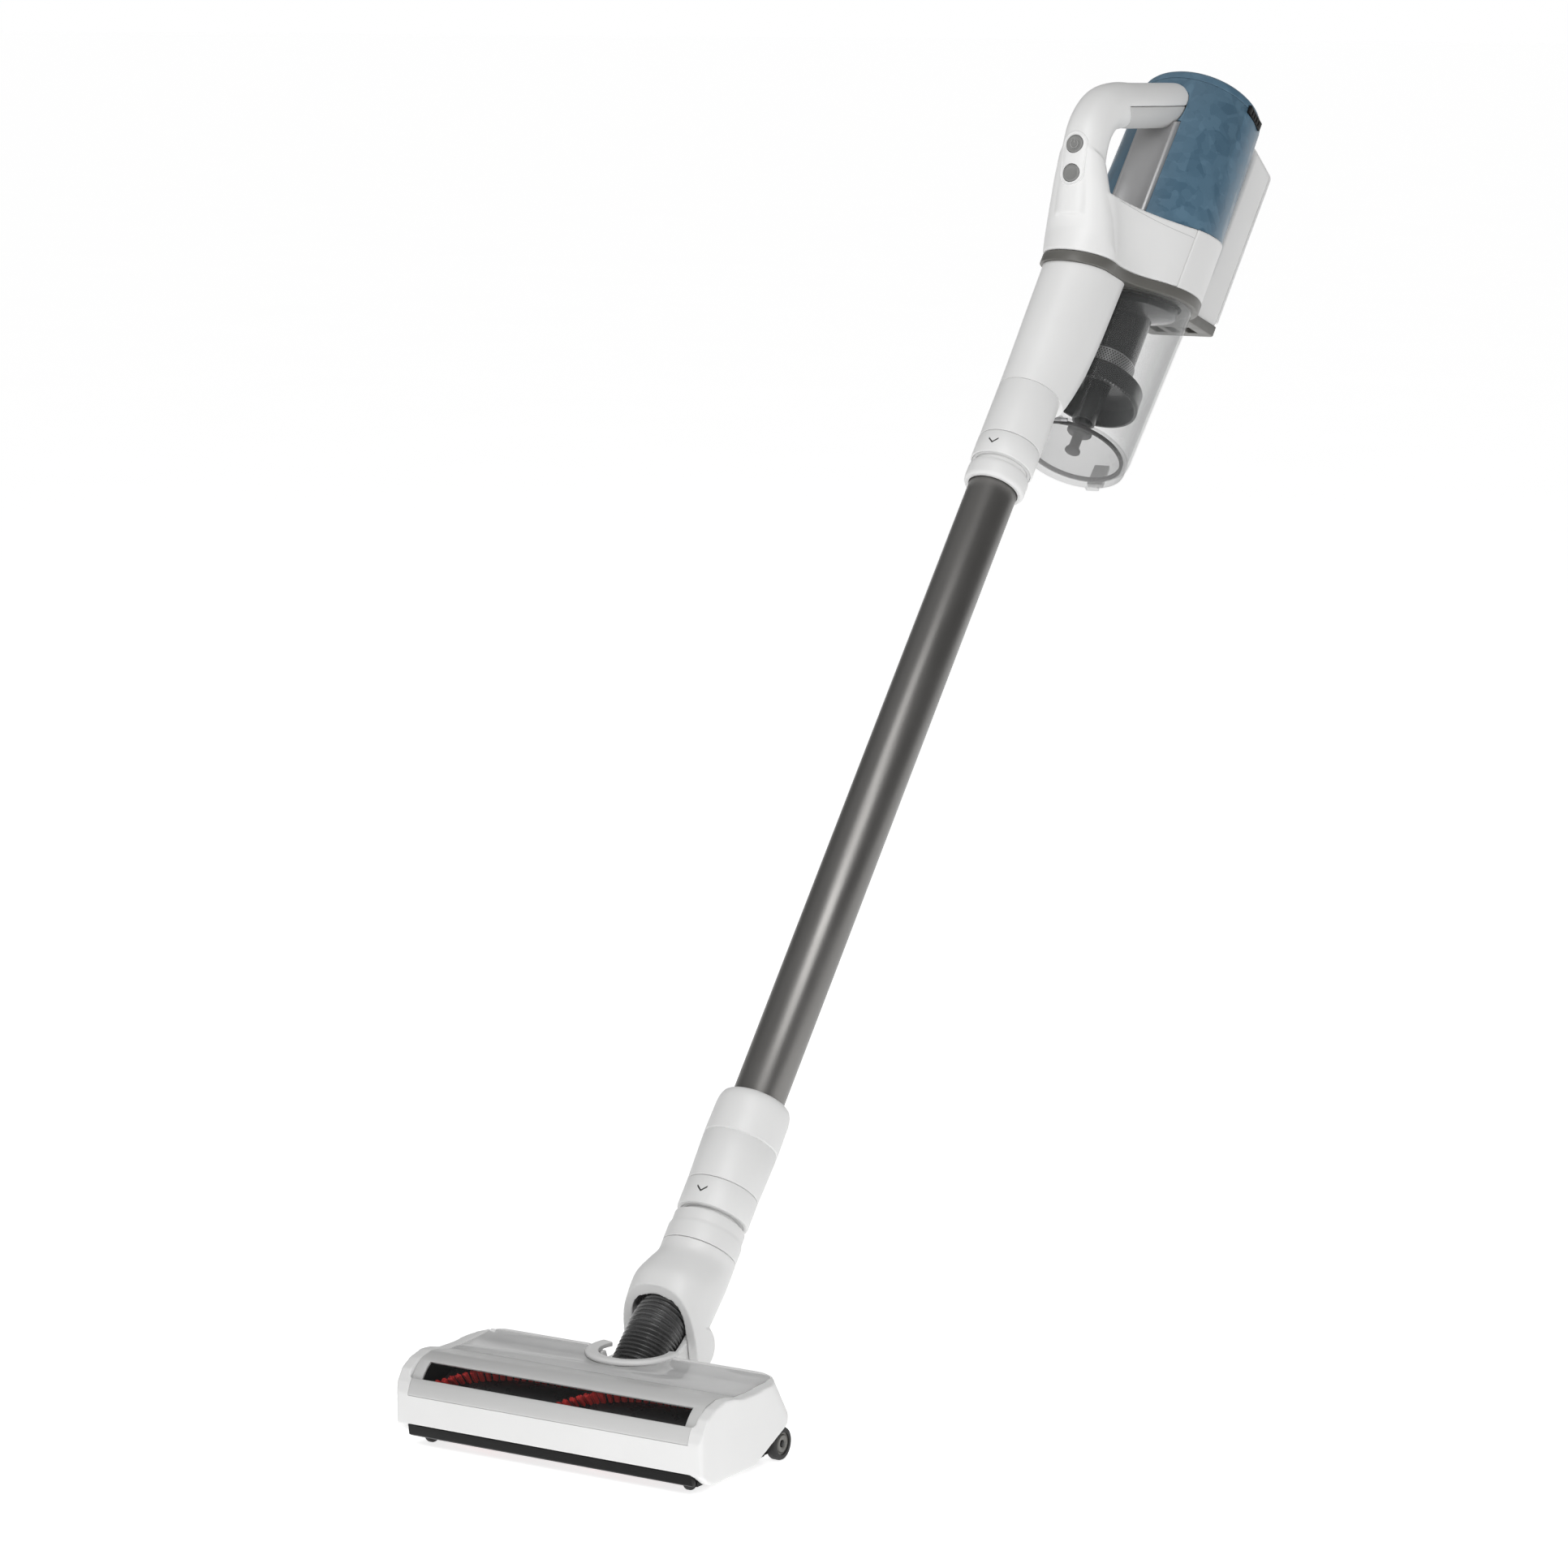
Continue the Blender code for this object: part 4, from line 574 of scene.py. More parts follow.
def make_floor():
    bm = bmesh.new()
    corners = ((-FLOOR_HALF, -FLOOR_HALF), (FLOOR_HALF, -FLOOR_HALF), (FLOOR_HALF, FLOOR_HALF),
               (-FLOOR_HALF, FLOOR_HALF))
    bm.faces.new([bm.verts.new((x, y, FLOOR_Z)) for x, y in corners])
    floor = raw("studio_floor", bm, Matrix.Identity(4))
    material, tree, shader = node_tree("studio_floor")
    shader.inputs["Roughness"].default_value = 0.9
    shader.inputs["Specular IOR Level"].default_value = 0.1
    mottle = spread(tree, noise_node(tree, 3.0, 3.0), 0.0, 1.0)
    tree.links.new(shade_between(tree, mottle, (0.78, 0.78, 0.78), (0.8, 0.8, 0.8)),
                   shader.inputs["Base Color"])
    shader.inputs["Emission Color"].default_value = (1.0, 1.0, 1.0, 1.0)
    shader.inputs["Emission Strength"].default_value = 0.78
    floor.data.materials.append(material)


def make_studio():
    bpy.context.scene.view_settings.view_transform = "Standard"
    make_world()
    area_light("key", 34, 38, 2.6, 1.3, 25)
    area_light("top", 20, 64, 2.6, 1.1, 10)
    area_light("low", 58, 24, 0.36, 0.2, 0.16, aim=(0.13, -0.45, 0.03))
    make_floor()


# ---------------------------------------------------------------- hand unit

def on_panel(centre, depth, a, b):
    """A point by the handle's sloping front: depth out of it, a across and b along the slope."""
    outward = Vector((0.0, *BUTTON_NORMAL))
    along = Vector((0.0, -BUTTON_NORMAL[1], BUTTON_NORMAL[0]))
    return Vector((0.0, *centre)) + outward * depth + Vector((a, 0.0, 0.0)) + along * b


def button_pocket(centre):
    return skin([[on_panel(centre, depth, a, b) for a, b in circle(BUTTON_R + GAP, count=64)]
                 for depth in (-POCKET_DEPTH, 0.02)])


def build_front_housing():
    front = raw("front_shell", skin([cowl_level(k / 8) for k in range(9)]))
    shoulder = [at_height(circle(0.0258, (0.0, -0.002)), lambda x, v: housing_low(x, v) - 0.003)]
    for radius, v, u in ((0.0266, -0.0068, 0.933), (0.0245, -0.018, 0.95), (0.021, -0.032, 0.9675),
                         (0.017, -0.045, 0.984)):
        shoulder.append(at_height(circle(radius, (0.0, v)), u))
    join(front, skin(shoulder))
    below = [(-0.06, -0.08), (0.06, -0.08), (0.06, 0.06), (-0.06, 0.06)]
    cut(front, prism(below, 0.88, lambda x, v: housing_low(x, v) + 0.00003))
    path = smooth_path([(-0.025, 0.947), (-0.0375, 0.9715), (-0.0465, 0.9905), (-0.0495, 1.008),
                        (-0.0445, 1.026), (-0.031, 1.0415), bar_point(-0.012), bar_point(SPINE_V1 + 0.004)],
                        10)
    join(front, sweep(path, HANDLE_HALF_X, HANDLE_HALF_D))
    cut(front, box(-0.06, 0.06, SPINE_V1, 0.058, 1.02, 1.13))
    cut(front, turned([(CAVITY_R, 0.85), (CAVITY_R, 1.02)], BIN_CENTRE))
    cut(front, turned([(0.0175, 0.9), (0.0175, 0.952)]))
    cut(front, box(-0.011, 0.011, 0.0, 0.045, 0.949, 0.963))
    grip_cut = [bar_point(-0.034), bar_point(0.04), bar_point(0.04, -0.03), bar_point(-0.02, -0.03)]
    cut(front, prism_x(grip_cut, -0.02, 0.02))
    melt(front, 0.0008, 12)
    for centre in (MODE_AT, POWER_AT):
        cut(front, button_pocket(centre))
    done(front, WHITE, "hand_unit", "front_housing")
    trim_front(front)


def build_grip():
    grip_path = smooth_path([(-0.0445, 1.026), (-0.031, 1.0415), bar_point(-0.012), bar_point(0.04)], 12)
    grip = raw("grip_pad", sweep(grip_path, HANDLE_HALF_X - 0.0006, HANDLE_HALF_D - 0.0004))
    keep = [bar_point(-0.0335, -GAP), bar_point(0.036, -GAP), bar_point(0.036, -0.03),
            bar_point(-0.0195, -0.03)]
    cut(grip, prism_x(keep, -0.02, 0.02), operation="INTERSECT")
    cut(grip, box(-0.02, 0.02, SPINE_V1, 0.05, 1.0, 1.12))
    melt(grip, 0.0006, 2)
    done(grip, PALE, "hand_unit", "grip_inset")


def build_rear_housing():
    rear = raw("rear_shell", prism(circle(0.0495, BIN_CENTRE, 160), housing_low, rim_top))
    slab_back = BATTERY_V1 - DOOR_T - GAP
    slab = rounded_rectangle(-BATTERY_HALF, BATTERY_HALF, 0.112, slab_back, 0.002, 0.0006)
    join(rear, prism(slab, housing_low, 1.012))
    case = rounded_rectangle(-BATTERY_HALF, BATTERY_HALF, BATTERY_V0, slab_back - 0.00005, 0.004, 0.0006)
    join(rear, prism(case, 1.000, BATTERY_TOP))
    front_zone = [(-0.06, -0.01), (0.06, -0.01), (0.06, COWL_REAR_V + GAP), (-0.06, COWL_REAR_V + GAP)]
    cut(rear, prism(front_zone, 0.88, lambda x, v: rim_top(x, v) + 0.01))
    cut(rear, turned([(0.0448, 0.85), (0.0448, 1.06)], BIN_CENTRE))
    x, u = BATTERY_HALF - BATTERY_CORNER, BATTERY_TOP - BATTERY_CORNER
    corner = arc((x, u), BATTERY_CORNER - 0.00002, -5, 95, 12)
    corner += [(x, 1.14), (BATTERY_HALF + 0.01, 1.14), (BATTERY_HALF + 0.01, u)]
    for side in (-1, 1):
        cut(rear, skin([[(side * a, v, b) for a, b in corner] for v in (0.12, 0.17)]))
    cut(rear, rear_corner())
    melt(rear, 0.0008, 4)
    cut(rear, box(-0.021, 0.021, 0.1308, 0.17, 0.995, 1.1265))
    done(rear, WHITE, "hand_unit", "rear_housing")


def build_battery_door():
    outline = rounded_rectangle(-BATTERY_HALF, BATTERY_HALF, 0.99, BATTERY_TOP, 0.001, BATTERY_CORNER)
    faces = [[(x, v, u) for x, u in outline] for v in (BATTERY_V1 - DOOR_T, BATTERY_V1)]
    door = raw("battery_door_panel", skin(faces))
    cut(door, disc_v(0.0029, BATTERY_V1 - 0.0016, BATTERY_V1 + 0.01, (0.0, SCREW_U)))
    cut(door, rear_corner())
    for index in range(5):
        u = 1.002 + 0.0032 * index
        cut(door, box(-0.011, 0.011, BATTERY_V1 - 0.0005, BATTERY_V1 + 0.01, u, u + 0.0014))
    bevel(door, 0.0004, 2)
    done(door, WHITE, "hand_unit", "battery_door")
    screw = raw("door_screw_head", disc_v(0.0025, BATTERY_V1 - 0.0013, BATTERY_V1 - 0.0002, (0.0, SCREW_U)))
    for turn in (0, 90):
        slot = box(-0.0015, 0.0015, -0.0004, 0.0004, -0.0006, 0.002)
        slot.transform(Matrix.Rotation(math.radians(turn), 4, "Z"))
        upright = Matrix.Rotation(-math.pi / 2, 4, "X")
        slot.transform(Matrix.Translation((0.0, BATTERY_V1 - 0.0002, SCREW_U)) @ upright)
        cut(screw, slot)
    done(screw, STEEL, "hand_unit", "door_screw")


def trace(name, starts, direction, shell, radius, sink, material, closed=False):
    """Thin bead laid on a shell along the points where rays from starts first meet it."""
    tree = BVHTree.FromObject(shell, bpy.context.evaluated_depsgraph_get())
    turn = STICK.to_3x3()
    aim = (turn @ Vector(direction)).normalized()
    hits = [tree.ray_cast(STICK @ Vector(p), aim)[0] for p in starts]
    path = [h + aim * sink for h in hits if h]
    loops = []
    count = len(path)
    for i, point in enumerate(path):
        before = path[i - 1] if closed or i else path[0]
        after = path[(i + 1) % count] if closed or i < count - 1 else path[-1]
        tangent = (after - before).normalized()
        side = tangent.cross(aim).normalized()
        up = side.cross(tangent)
        loops.append([point + side * a + up * b for a, b in circle(radius, count=10)])
    bead = raw(name, skin(loops, closed), Matrix.Identity(4))
    done(bead, material, "hand_unit", angle=80)


def trim_front(front):
    """Raised ring round the two buttons and the panel seams below the rim."""
    middle = [(a + b) / 2 for a, b in zip(MODE_AT, POWER_AT)]
    half_apart, ring_r = 0.0103, 0.0088
    ring = [on_panel(middle, 0.03, a, b + math.copysign(half_apart, b)) for a, b in circle(ring_r, count=96)]
    inward = (0.0, -BUTTON_NORMAL[0], -BUTTON_NORMAL[1])
    trace("button_ring", ring, inward, front, 0.0009, 0.0004, WHITE, closed=True)
    for side, label in ((1, "right"), (-1, "left")):
        seam = []
        for i in range(70):
            v = -0.015 + 0.0735 * i / 69
            drop = 0.002 + 0.006 * (i / 69) ** 1.5
            seam.append((side * 0.08, v, rim_top(0.0, v) - drop))
        trace("panel_seam_" + label, seam, (-side, 0.0, 0.0), front, 0.00022, 0.00012, SPINE)


def rear_corner():
    """Tool that rounds the case's top edge at the rear."""
    v, u = BATTERY_V1 - BATTERY_CORNER, BATTERY_TOP - BATTERY_CORNER
    edge = arc((v, u), BATTERY_CORNER, -5, 95, 24) + [(v, 1.14), (BATTERY_V1 + 0.01, 1.14),
                                                      (BATTERY_V1 + 0.01, u)]
    return prism_x(edge, -0.04, 0.04)


def disc_v(radius, v0, v1, centre, count=48):
    ring = circle(radius, centre, count)
    return skin([[(x, v, u) for x, u in ring] for v in (v0, v1)])


def build_buttons():
    dish = ((BUTTON_R, -0.0058), (BUTTON_R, -0.0002), (BUTTON_R - 0.0003, 0.0004),
            (BUTTON_R - 0.0012, 0.0008), (BUTTON_R - 0.002, 0.0005), (BUTTON_R - 0.0035, 0.0002))
    for name, centre in (("mode", MODE_AT), ("power", POWER_AT)):
        loops = [[on_panel(centre, depth, a, b) for a, b in circle(radius, count=72)] for radius,
                 depth in dish]
        loops.append([on_panel(centre, 0.0001, 0.0, 0.0)])
        done(raw(name + "_key_cap", skin(loops)), KEY_GREY, name + "_key", name + "_button", 60)
    mark_depth, mark_r, stroke, half_stroke = 0.00055, 0.0026, 0.0006, 0.0003
    bm = bmesh.new()
    strip = []
    for step in range(41):
        angle = math.radians(40 + 280 * step / 40)
        strip.append([bm.verts.new(on_panel(POWER_AT, mark_depth, r * math.sin(angle), -r * math.cos(angle)))
                      for r in (mark_r, mark_r + stroke)])
    for (a, b), (c, d) in zip(strip, strip[1:]):
        bm.faces.new((a, b, d, c))
    bar = ((-half_stroke, 0.0008), (half_stroke, 0.0008), (half_stroke, 0.0036), (-half_stroke, 0.0036))
    bm.faces.new([bm.verts.new(on_panel(POWER_AT, mark_depth, x, -z)) for x, z in bar])
    bmesh.ops.solidify(bm, geom=bm.faces, thickness=0.0002)
    done(raw("power_symbol", bm), PALE, "power_key")


def build_flange():
    plate = raw("seat_plate",
                prism(full_outline(FRONT_R, REAR_R, 0.045, 0.0265, BATTERY_V1), flange_low, flange_top))
    cut(plate, turned([(0.0175, 0.85), (0.0175, 0.97)]))
    cut(plate, turned([(0.0375, 0.85), (0.0375, 1.02)], BIN_CENTRE))
    for x in (-0.013, 0.0, 0.013):
        cut(plate, box(x - 0.004, x + 0.004, 0.138, 0.152, 0.93, 1.02))
    bevel(plate, 0.0007, 3)
    done(plate, FLANGE, "hand_unit", "bin_flange")


def build_motor_cover():
    low = lambda x, v: rim_top(x, v) + GAP
    loops = [bin_ring(MOTOR_R_LOW, low, 160), bin_ring(MOTOR_R_HIGH, CAP_U - GAP - 0.0004, 160),
             bin_ring(MOTOR_R_HIGH - 0.0003, CAP_U - GAP, 160),
             bin_ring(MOTOR_R_HIGH - MOTOR_WALL, CAP_U - GAP, 160),
             bin_ring(MOTOR_R_LOW - MOTOR_WALL, low, 160)]
    cover = raw("motor_cowl", skin(loops, True))
    cut(cover, box(-SPINE_HALF - GAP, SPINE_HALF + GAP, 0.02, SPINE_V1 + GAP, 0.98, 1.078))
    bar = smooth_path([bar_point(-0.012), bar_point(0.01), bar_point(SPINE_V1 + 0.0044)], 4)
    cut(cover, sweep(bar, HANDLE_HALF_X + GAP, HANDLE_HALF_D + GAP))
    cut(cover, box(0.043, 0.05, LATCH_V0 - GAP, LATCH_V1 + GAP, LATCH_U0 - GAP, 1.13))
    done(cover, BLUE, "hand_unit", "motor_cover")


def build_spine():
    spine = [(-SPINE_HALF, SPINE_V1), (-SPINE_HALF, SPINE_V0)]
    spine += arc((0.0, SPINE_V0 - 0.0165), 0.0205, 130, 50, 30)
    spine += [(SPINE_HALF, SPINE_V0), (SPINE_HALF, SPINE_V1)]
    top = lambda x, v: bar_point(v, -HANDLE_HALF_D)[1] - 0.0012
    plate = raw("spine_channel", prism(spine, lambda x, v: rim_top(x, v) + 2 * GAP, top))
    bevel(plate, 0.0004, 2)
    done(plate, SPINE, "hand_unit", "spine_plate")


def build_cap():
    base, wall = CAP_U + 0.004, MOTOR_WALL
    profile = [(MOTOR_R_HIGH - wall, CAP_U), (MOTOR_R_HIGH - 0.0003, CAP_U), (MOTOR_R_HIGH, CAP_U + 0.0003),
               (MOTOR_R_HIGH - 0.0006, base)]
    profile += [(0.0454 * math.cos(t),
                 base + (CAP_TOP - base) * math.sin(t)) for t in [0.12 * k for k in range(1, 13)]]
    outer = [bin_ring(radius, height, 160) for radius, height in profile] + [[(*BIN_CENTRE, CAP_TOP)]]
    inside = CAP_U + 0.0036
    inner = [[(*BIN_CENTRE, CAP_TOP - wall)]]
    for t in (1.35, 1.1, 0.8, 0.5, 0.25):
        inner.append(bin_ring(0.043 * math.cos(t), inside + (CAP_TOP - inside - wall) * math.sin(t), 160))
    cap = raw("filter_cap_dome", skin(outer[::-1] + inner[::-1]))
    cut(cap, box(0.0415, 0.05, LATCH_V0 - GAP, LATCH_V1 + GAP, 1.1, LATCH_U1 + GAP))
    done(cap, BLUE, "cap", "filter_cap")
    latch = raw("cap_latch_key", box(0.0445, 0.0466, LATCH_V0, LATCH_V1, LATCH_U0, LATCH_U1))
    for index in range(4):
        v = LATCH_V0 + 0.004 + 0.004 * index
        cut(latch, box(0.0461, 0.048, v, v + 0.0014, LATCH_U0 + 0.001, LATCH_U1 - 0.001))
    bevel(latch, 0.0004, 2)
    done(latch, BLACK, "cap_catch", "cap_latch")


def build_duct():
    loops = []
    for u, radius, saddle in ((DUCT_SEAM, DUCT_R, 0.006), (0.819, 0.0225, 0.0092), (0.828, 0.0226, 0.012),
                              (0.839, 0.0228, 0.0145), (0.85, 0.023, 0.0165), (0.867, 0.0234, 0.0178),
                              (0.885, 0.0237, 0.0185), (0.909, DUCT_TOP_R, 0.019)):
        loops.append([(a, b + (saddle if b > 0.0005 else 0.0), u) for a, b in circle(radius)])
    loops[-1] = [(a, b, bin_plane(a, b)) for a, b, _ in loops[-1]]
    straight = [(SEAT_R, DUCT_LOW), (SEAT_R, UPPER_SLEEVE_HIGH + GAP)]
    straight += about(DUCT_R, UPPER_SLEEVE_HIGH + GAP, (-0.0003, 0.0), (0.0, GAP))
    straight += about(DUCT_R, DUCT_SEAM, (0.0, -0.0012), (-0.0002, -0.0006), (-0.0008, -0.0004),
                      (-0.0008, -0.0001))
    duct = raw("inlet_tube", skin([[(a, b, u) for a, b in circle(r)] for r, u in straight] + loops))
    cut(duct, turned([(SOCKET_R, 0.7), (SOCKET_R, SPIGOT_TOP + GAP), (0.0165, SPIGOT_TOP + 0.004),
                          (0.0165, 0.97)]))
    cut(duct, turned([(BIN_TOP_R + 0.0006, 0.7), (BIN_TOP_R + 0.0006, 0.99)], BIN_CENTRE, 192))
    done(duct, WHITE, "hand_unit", "inlet_duct", 35)


def build_sleeve(name, node, body, low, high, skin_r):
    """Release sleeve with its printed chevron."""
    inner = SEAT_R + GAP
    profile = [(inner, low), (skin_r - 0.0007, low), (skin_r - 0.0002, low + 0.0003), (skin_r, low + 0.0009),
               (skin_r, high - 0.0009), (skin_r - 0.0002, high - 0.0004), (skin_r - 0.0006, high),
               (inner, high)]
    done(raw(name, turned(profile, closed=True)), WHITE, body, node, 35)
    middle = (low + high) / 2
    half, drop, stroke = 0.0038, 0.0034, 0.0013
    upper, lower = [], []
    for i in range(-10, 11):
        s = half * i / 10
        height = middle - drop / 2 + drop * abs(i) / 10
        upper.append((s, height + stroke / 2))
        lower.append((s, height - stroke / 2))
    bm = bmesh.new()
    rows = []
    for radius in (skin_r - 0.0002, skin_r + 0.00006):
        rows.append([[bm.verts.new((radius * math.sin(s / radius), -radius * math.cos(s / radius), h))
                      for s, h in line] for line in (upper, lower)])
    (iu, il), (ou, ol) = rows
    for i in range(20):
        bm.faces.new((ou[i], ou[i + 1], ol[i + 1], ol[i]))
        bm.faces.new((iu[i], il[i], il[i + 1], iu[i + 1]))
        bm.faces.new((ou[i], iu[i], iu[i + 1], ou[i + 1]))
        bm.faces.new((ol[i], ol[i + 1], il[i + 1], il[i]))
    for i in (0, 20):
        bm.faces.new((ou[i], ol[i], il[i], iu[i]))
    done(raw(name + "_chevron", bm), PRINT, body)


# ---------------------------------------------------------------- dust bin

def build_cup():
    lip, wall = 0.8265, BIN_WALL
    outer = [(BIN_LOW_R - 0.0004, BIN_LOW), (BIN_LOW_R, BIN_LOW + 0.0004), (BIN_LOW_R + 0.0004, 0.8222),
             (BIN_LOW_R + 0.0005, 0.8226), (BIN_LOW_R + 0.0006, lip)]
    loops = [bin_ring(r, u, 160) for r, u in outer]
    loops += [bin_ring(BIN_TOP_R, bin_plane, 160), bin_ring(BIN_TOP_R - wall, bin_plane, 160),
              bin_ring(BIN_LOW_R + 0.0006 - wall, lip, 160), bin_ring(BIN_LOW_R - wall, BIN_LOW, 160)]
    done(raw("bin_wall", skin(loops, True)), CLEAR, "bin", "dust_bin", 35)


def build_cyclone_tube():
    tube_top = lambda x, v: bin_plane(x, v) - 0.0012
    loops = [bin_ring(0.0186, SHOULDER_U + 0.006),
             bin_ring(CYCLONE_R - 0.0003, SHOULDER_U + 0.006),
             bin_ring(CYCLONE_R, SHOULDER_U + 0.0064),
             bin_ring(CYCLONE_R, lambda x, v: tube_top(x, v) - 0.012),
             bin_ring(0.036, lambda x, v: tube_top(x, v) - 0.006),
             bin_ring(0.036, tube_top),
             bin_ring(0.034, tube_top),
             bin_ring(0.034, lambda x, v: tube_top(x, v) - 0.004),
             bin_ring(0.0186, lambda x, v: tube_top(x, v) - 0.0105)]
    done(raw("cyclone_column", skin(loops, True)), CYCLONE, "bin", "cyclone_tube", 35)


def build_shroud():
    """Metal ring with eight staggered rows of black discs on it, painted shade where its holes are."""
    shroud = [(0.0188, 0.8795), (0.0213, 0.8795), (0.0216, 0.8799), (0.0216, 0.8943), (0.0213, 0.8947),
              (0.0188, 0.8947)]
    done(raw("shroud_ring", turned(shroud, BIN_CENTRE, closed=True)), SHROUD, "bin", "cyclone_shroud", 35)
    # painted shade: black discs laid on the ring stand for the dark inside the holes, which are not cut
    bm = bmesh.new()
    around = 64
    for row in range(8):
        u = 0.8812 + 0.00165 * row
        for k in range(around):
            angle = 2 * math.pi * (k + 0.5 * (row % 2)) / around
            out = Vector((math.sin(angle), -math.cos(angle), 0.0))
            side = Vector((math.cos(angle), math.sin(angle), 0.0))
            middle = Vector((*BIN_CENTRE, u)) + out * 0.02166
            ring = [bm.verts.new(middle + side * a + Vector((0, 0, b))) for a, b in circle(0.00055, count=8)]
            bm.faces.new(ring)
    bmesh.ops.solidify(bm, geom=bm.faces, thickness=0.0002)
    done(raw("shroud_hole_shade_discs", bm), BLACK, "bin")


def build_skirt():
    skirt = [(0.032, CUP_LOW), (CUP_R - 0.0003, CUP_LOW), (CUP_R, CUP_LOW + 0.0004),
             (CUP_R, CUP_LOW + 0.003), (CUP_R - 0.0004, CUP_LOW + 0.0032),
             (CUP_R - 0.0004, CUP_HIGH - 0.001), (CUP_R - 0.0008, CUP_HIGH - 0.0002), (0.0219, 0.8835),
             (0.0219, 0.879), (0.01, 0.879), (0.0085, 0.842), (0.007, 0.842), (0.008, 0.876), (0.032, 0.874)]
    loops = []
    for index, (radius, u) in enumerate(skirt):
        ring = []
        for k, (a, b) in enumerate(circle(radius, BIN_CENTRE, 180)):
            inset = 0.0006 if index in (1, 2, 3) and k % 2 else 0.0
            scale = (radius - inset) / radius
            ring.append((a * scale, BIN_V + (b - BIN_V) * scale, u))
        loops.append(ring)
    done(raw("cyclone_cup", skin(loops, True)), CYCLONE, "bin", "cyclone_skirt", 35)


def build_lid():
    post = [(0.0, 0.8162), (0.0052, 0.8162), (0.0056, 0.8166), (0.0056, 0.8181), (0.005, 0.819),
            (0.0038, 0.8203), (0.0038, 0.831), (0.0046, 0.8318), (0.0088, 0.8325), (0.0092, 0.833),
            (0.0092, 0.835), (0.0086, 0.8356), (0.0, 0.836)]
    done(raw("dust_plug", turned(post, BIN_CENTRE, 64)), BLACK, "lid", "fine_dust_plug", 50)

    disc = [(0.0, LID_LOW), (LID_R - 0.0012, LID_LOW), (LID_R - 0.0003, LID_LOW + 0.0004),
            (LID_R, LID_LOW + 0.0014), (LID_R, LID_HIGH - 0.0003), (LID_R - 0.0003, LID_HIGH),
            (LID_R - 0.0028, LID_HIGH), (LID_R - 0.0028, LID_LOW + 0.0038), (0.0, LID_LOW + 0.0038)]
    lid = raw("lid_disc", turned(disc, BIN_CENTRE, 160))
    join(lid, box(-0.0085, 0.0085, 0.0352, 0.042, LID_LOW + 0.0005, LID_HIGH - 0.0002))
    cut(lid, turned_x([(0.0016, -0.02), (0.0016, 0.02)], (HINGE_V, HINGE_U), 24))
    join(lid, box(-0.005, 0.005, 0.1165, 0.1205, LID_LOW + 0.0004, LID_LOW + 0.0026))
    done(lid, LID, "lid", "bin_lid", 35)
    seal = [(0.0352, 0.8161), (0.0372, 0.8161), (0.0374, 0.8165), (0.0374, 0.8184), (0.037, 0.8188),
            (0.0354, 0.8188), (0.035, 0.8184), (0.035, 0.8165)]
    done(raw("lid_seal", turned(seal, BIN_CENTRE, 160, True)), RUBBER, "lid", angle=50)
    pin = turned_x([(0.0, -0.013), (0.001, -0.013), (0.0013, -0.0127), (0.0013, 0.0127), (0.001, 0.013),
                    (0.0, 0.013)], (HINGE_V, HINGE_U), 32)
    done(raw("lid_hinge_pin", pin), STEEL, "bin", "lid_pin")


def build_lid_latch():
    latch = [(0.1194, 0.8175), (0.1225, 0.8165), (0.1222, 0.833), (0.1205, 0.835)]
    latch = raw("lid_latch", prism_x(latch, -0.0062, 0.0062))
    bevel(latch, 0.0004, 2)
    done(latch, PALE, "lid_catch", "bin_latch")


# ---------------------------------------------------------------- suction tube, neck and elbow

def build_tube():
    low, high = SLEEVE_HIGH + 0.03, LIP_LOW + 0.05
    tube = [(TUBE_R - TUBE_WALL, low), (TUBE_R - 0.0002, low), (TUBE_R, low + 0.0003),
            (TUBE_R, high - 0.0003), (TUBE_R - 0.0002, high), (TUBE_R - TUBE_WALL, high)]
    done(raw("extension_tube", turned(tube, closed=True)), TUBE, "tube", "suction_tube", 35)
    inner = TUBE_R + GAP
    spigot = [(inner, LIP_LOW + 0.0004), (inner + 0.0003, LIP_LOW), (0.02, LIP_LOW),
              (0.021, LIP_LOW + 0.0007), (0.0216, LIP_LOW + 0.0018), (0.0218, LIP_LOW + 0.0034),
              (0.0218, LIP_HIGH - 0.0034), (0.0216, LIP_HIGH - 0.0016), (0.0211, LIP_HIGH - 0.0005),
              (0.0204, LIP_HIGH), (SPIGOT_R, LIP_HIGH), (SPIGOT_R, SPIGOT_TOP - 0.001),
              (SPIGOT_R - 0.0006, SPIGOT_TOP), (inner, SPIGOT_TOP)]
    done(raw("upper_spigot", turned(spigot, closed=True)), WHITE, "tube", "tube_spigot", 35)
    collar = [(SOCKET_R, SLEEVE_LOW), (SEAT_R, SLEEVE_LOW), (SEAT_R, SLEEVE_HIGH + GAP),
              (LOW_SLEEVE_R - 0.0004, SLEEVE_HIGH + GAP), (LOW_SLEEVE_R, SLEEVE_HIGH + 2.5 * GAP)]
    collar += about(COLLAR_R, COLLAR_SEAM, (-0.0001, -0.0009), (-0.0004, -0.0004), (-0.0008, -0.0002),
                    (-0.0008, 0.0002), (-0.0004, 0.0004), (0.0, 0.0009))
    collar += about(COLLAR_R, COLLAR_HIGH, (-0.0004, -0.009), (-0.0008, -0.006), (-0.0014, -0.0035),
                    (-0.0024, -0.0014), (-0.0036, -0.0004), (-0.005, 0.0))
    collar += [(inner, COLLAR_HIGH), (inner, SLEEVE_HIGH + 0.0296), (SOCKET_R, SLEEVE_HIGH + 0.029)]
    done(raw("lower_collar", turned(collar, closed=True)), WHITE, "tube", "tube_collar", 35)


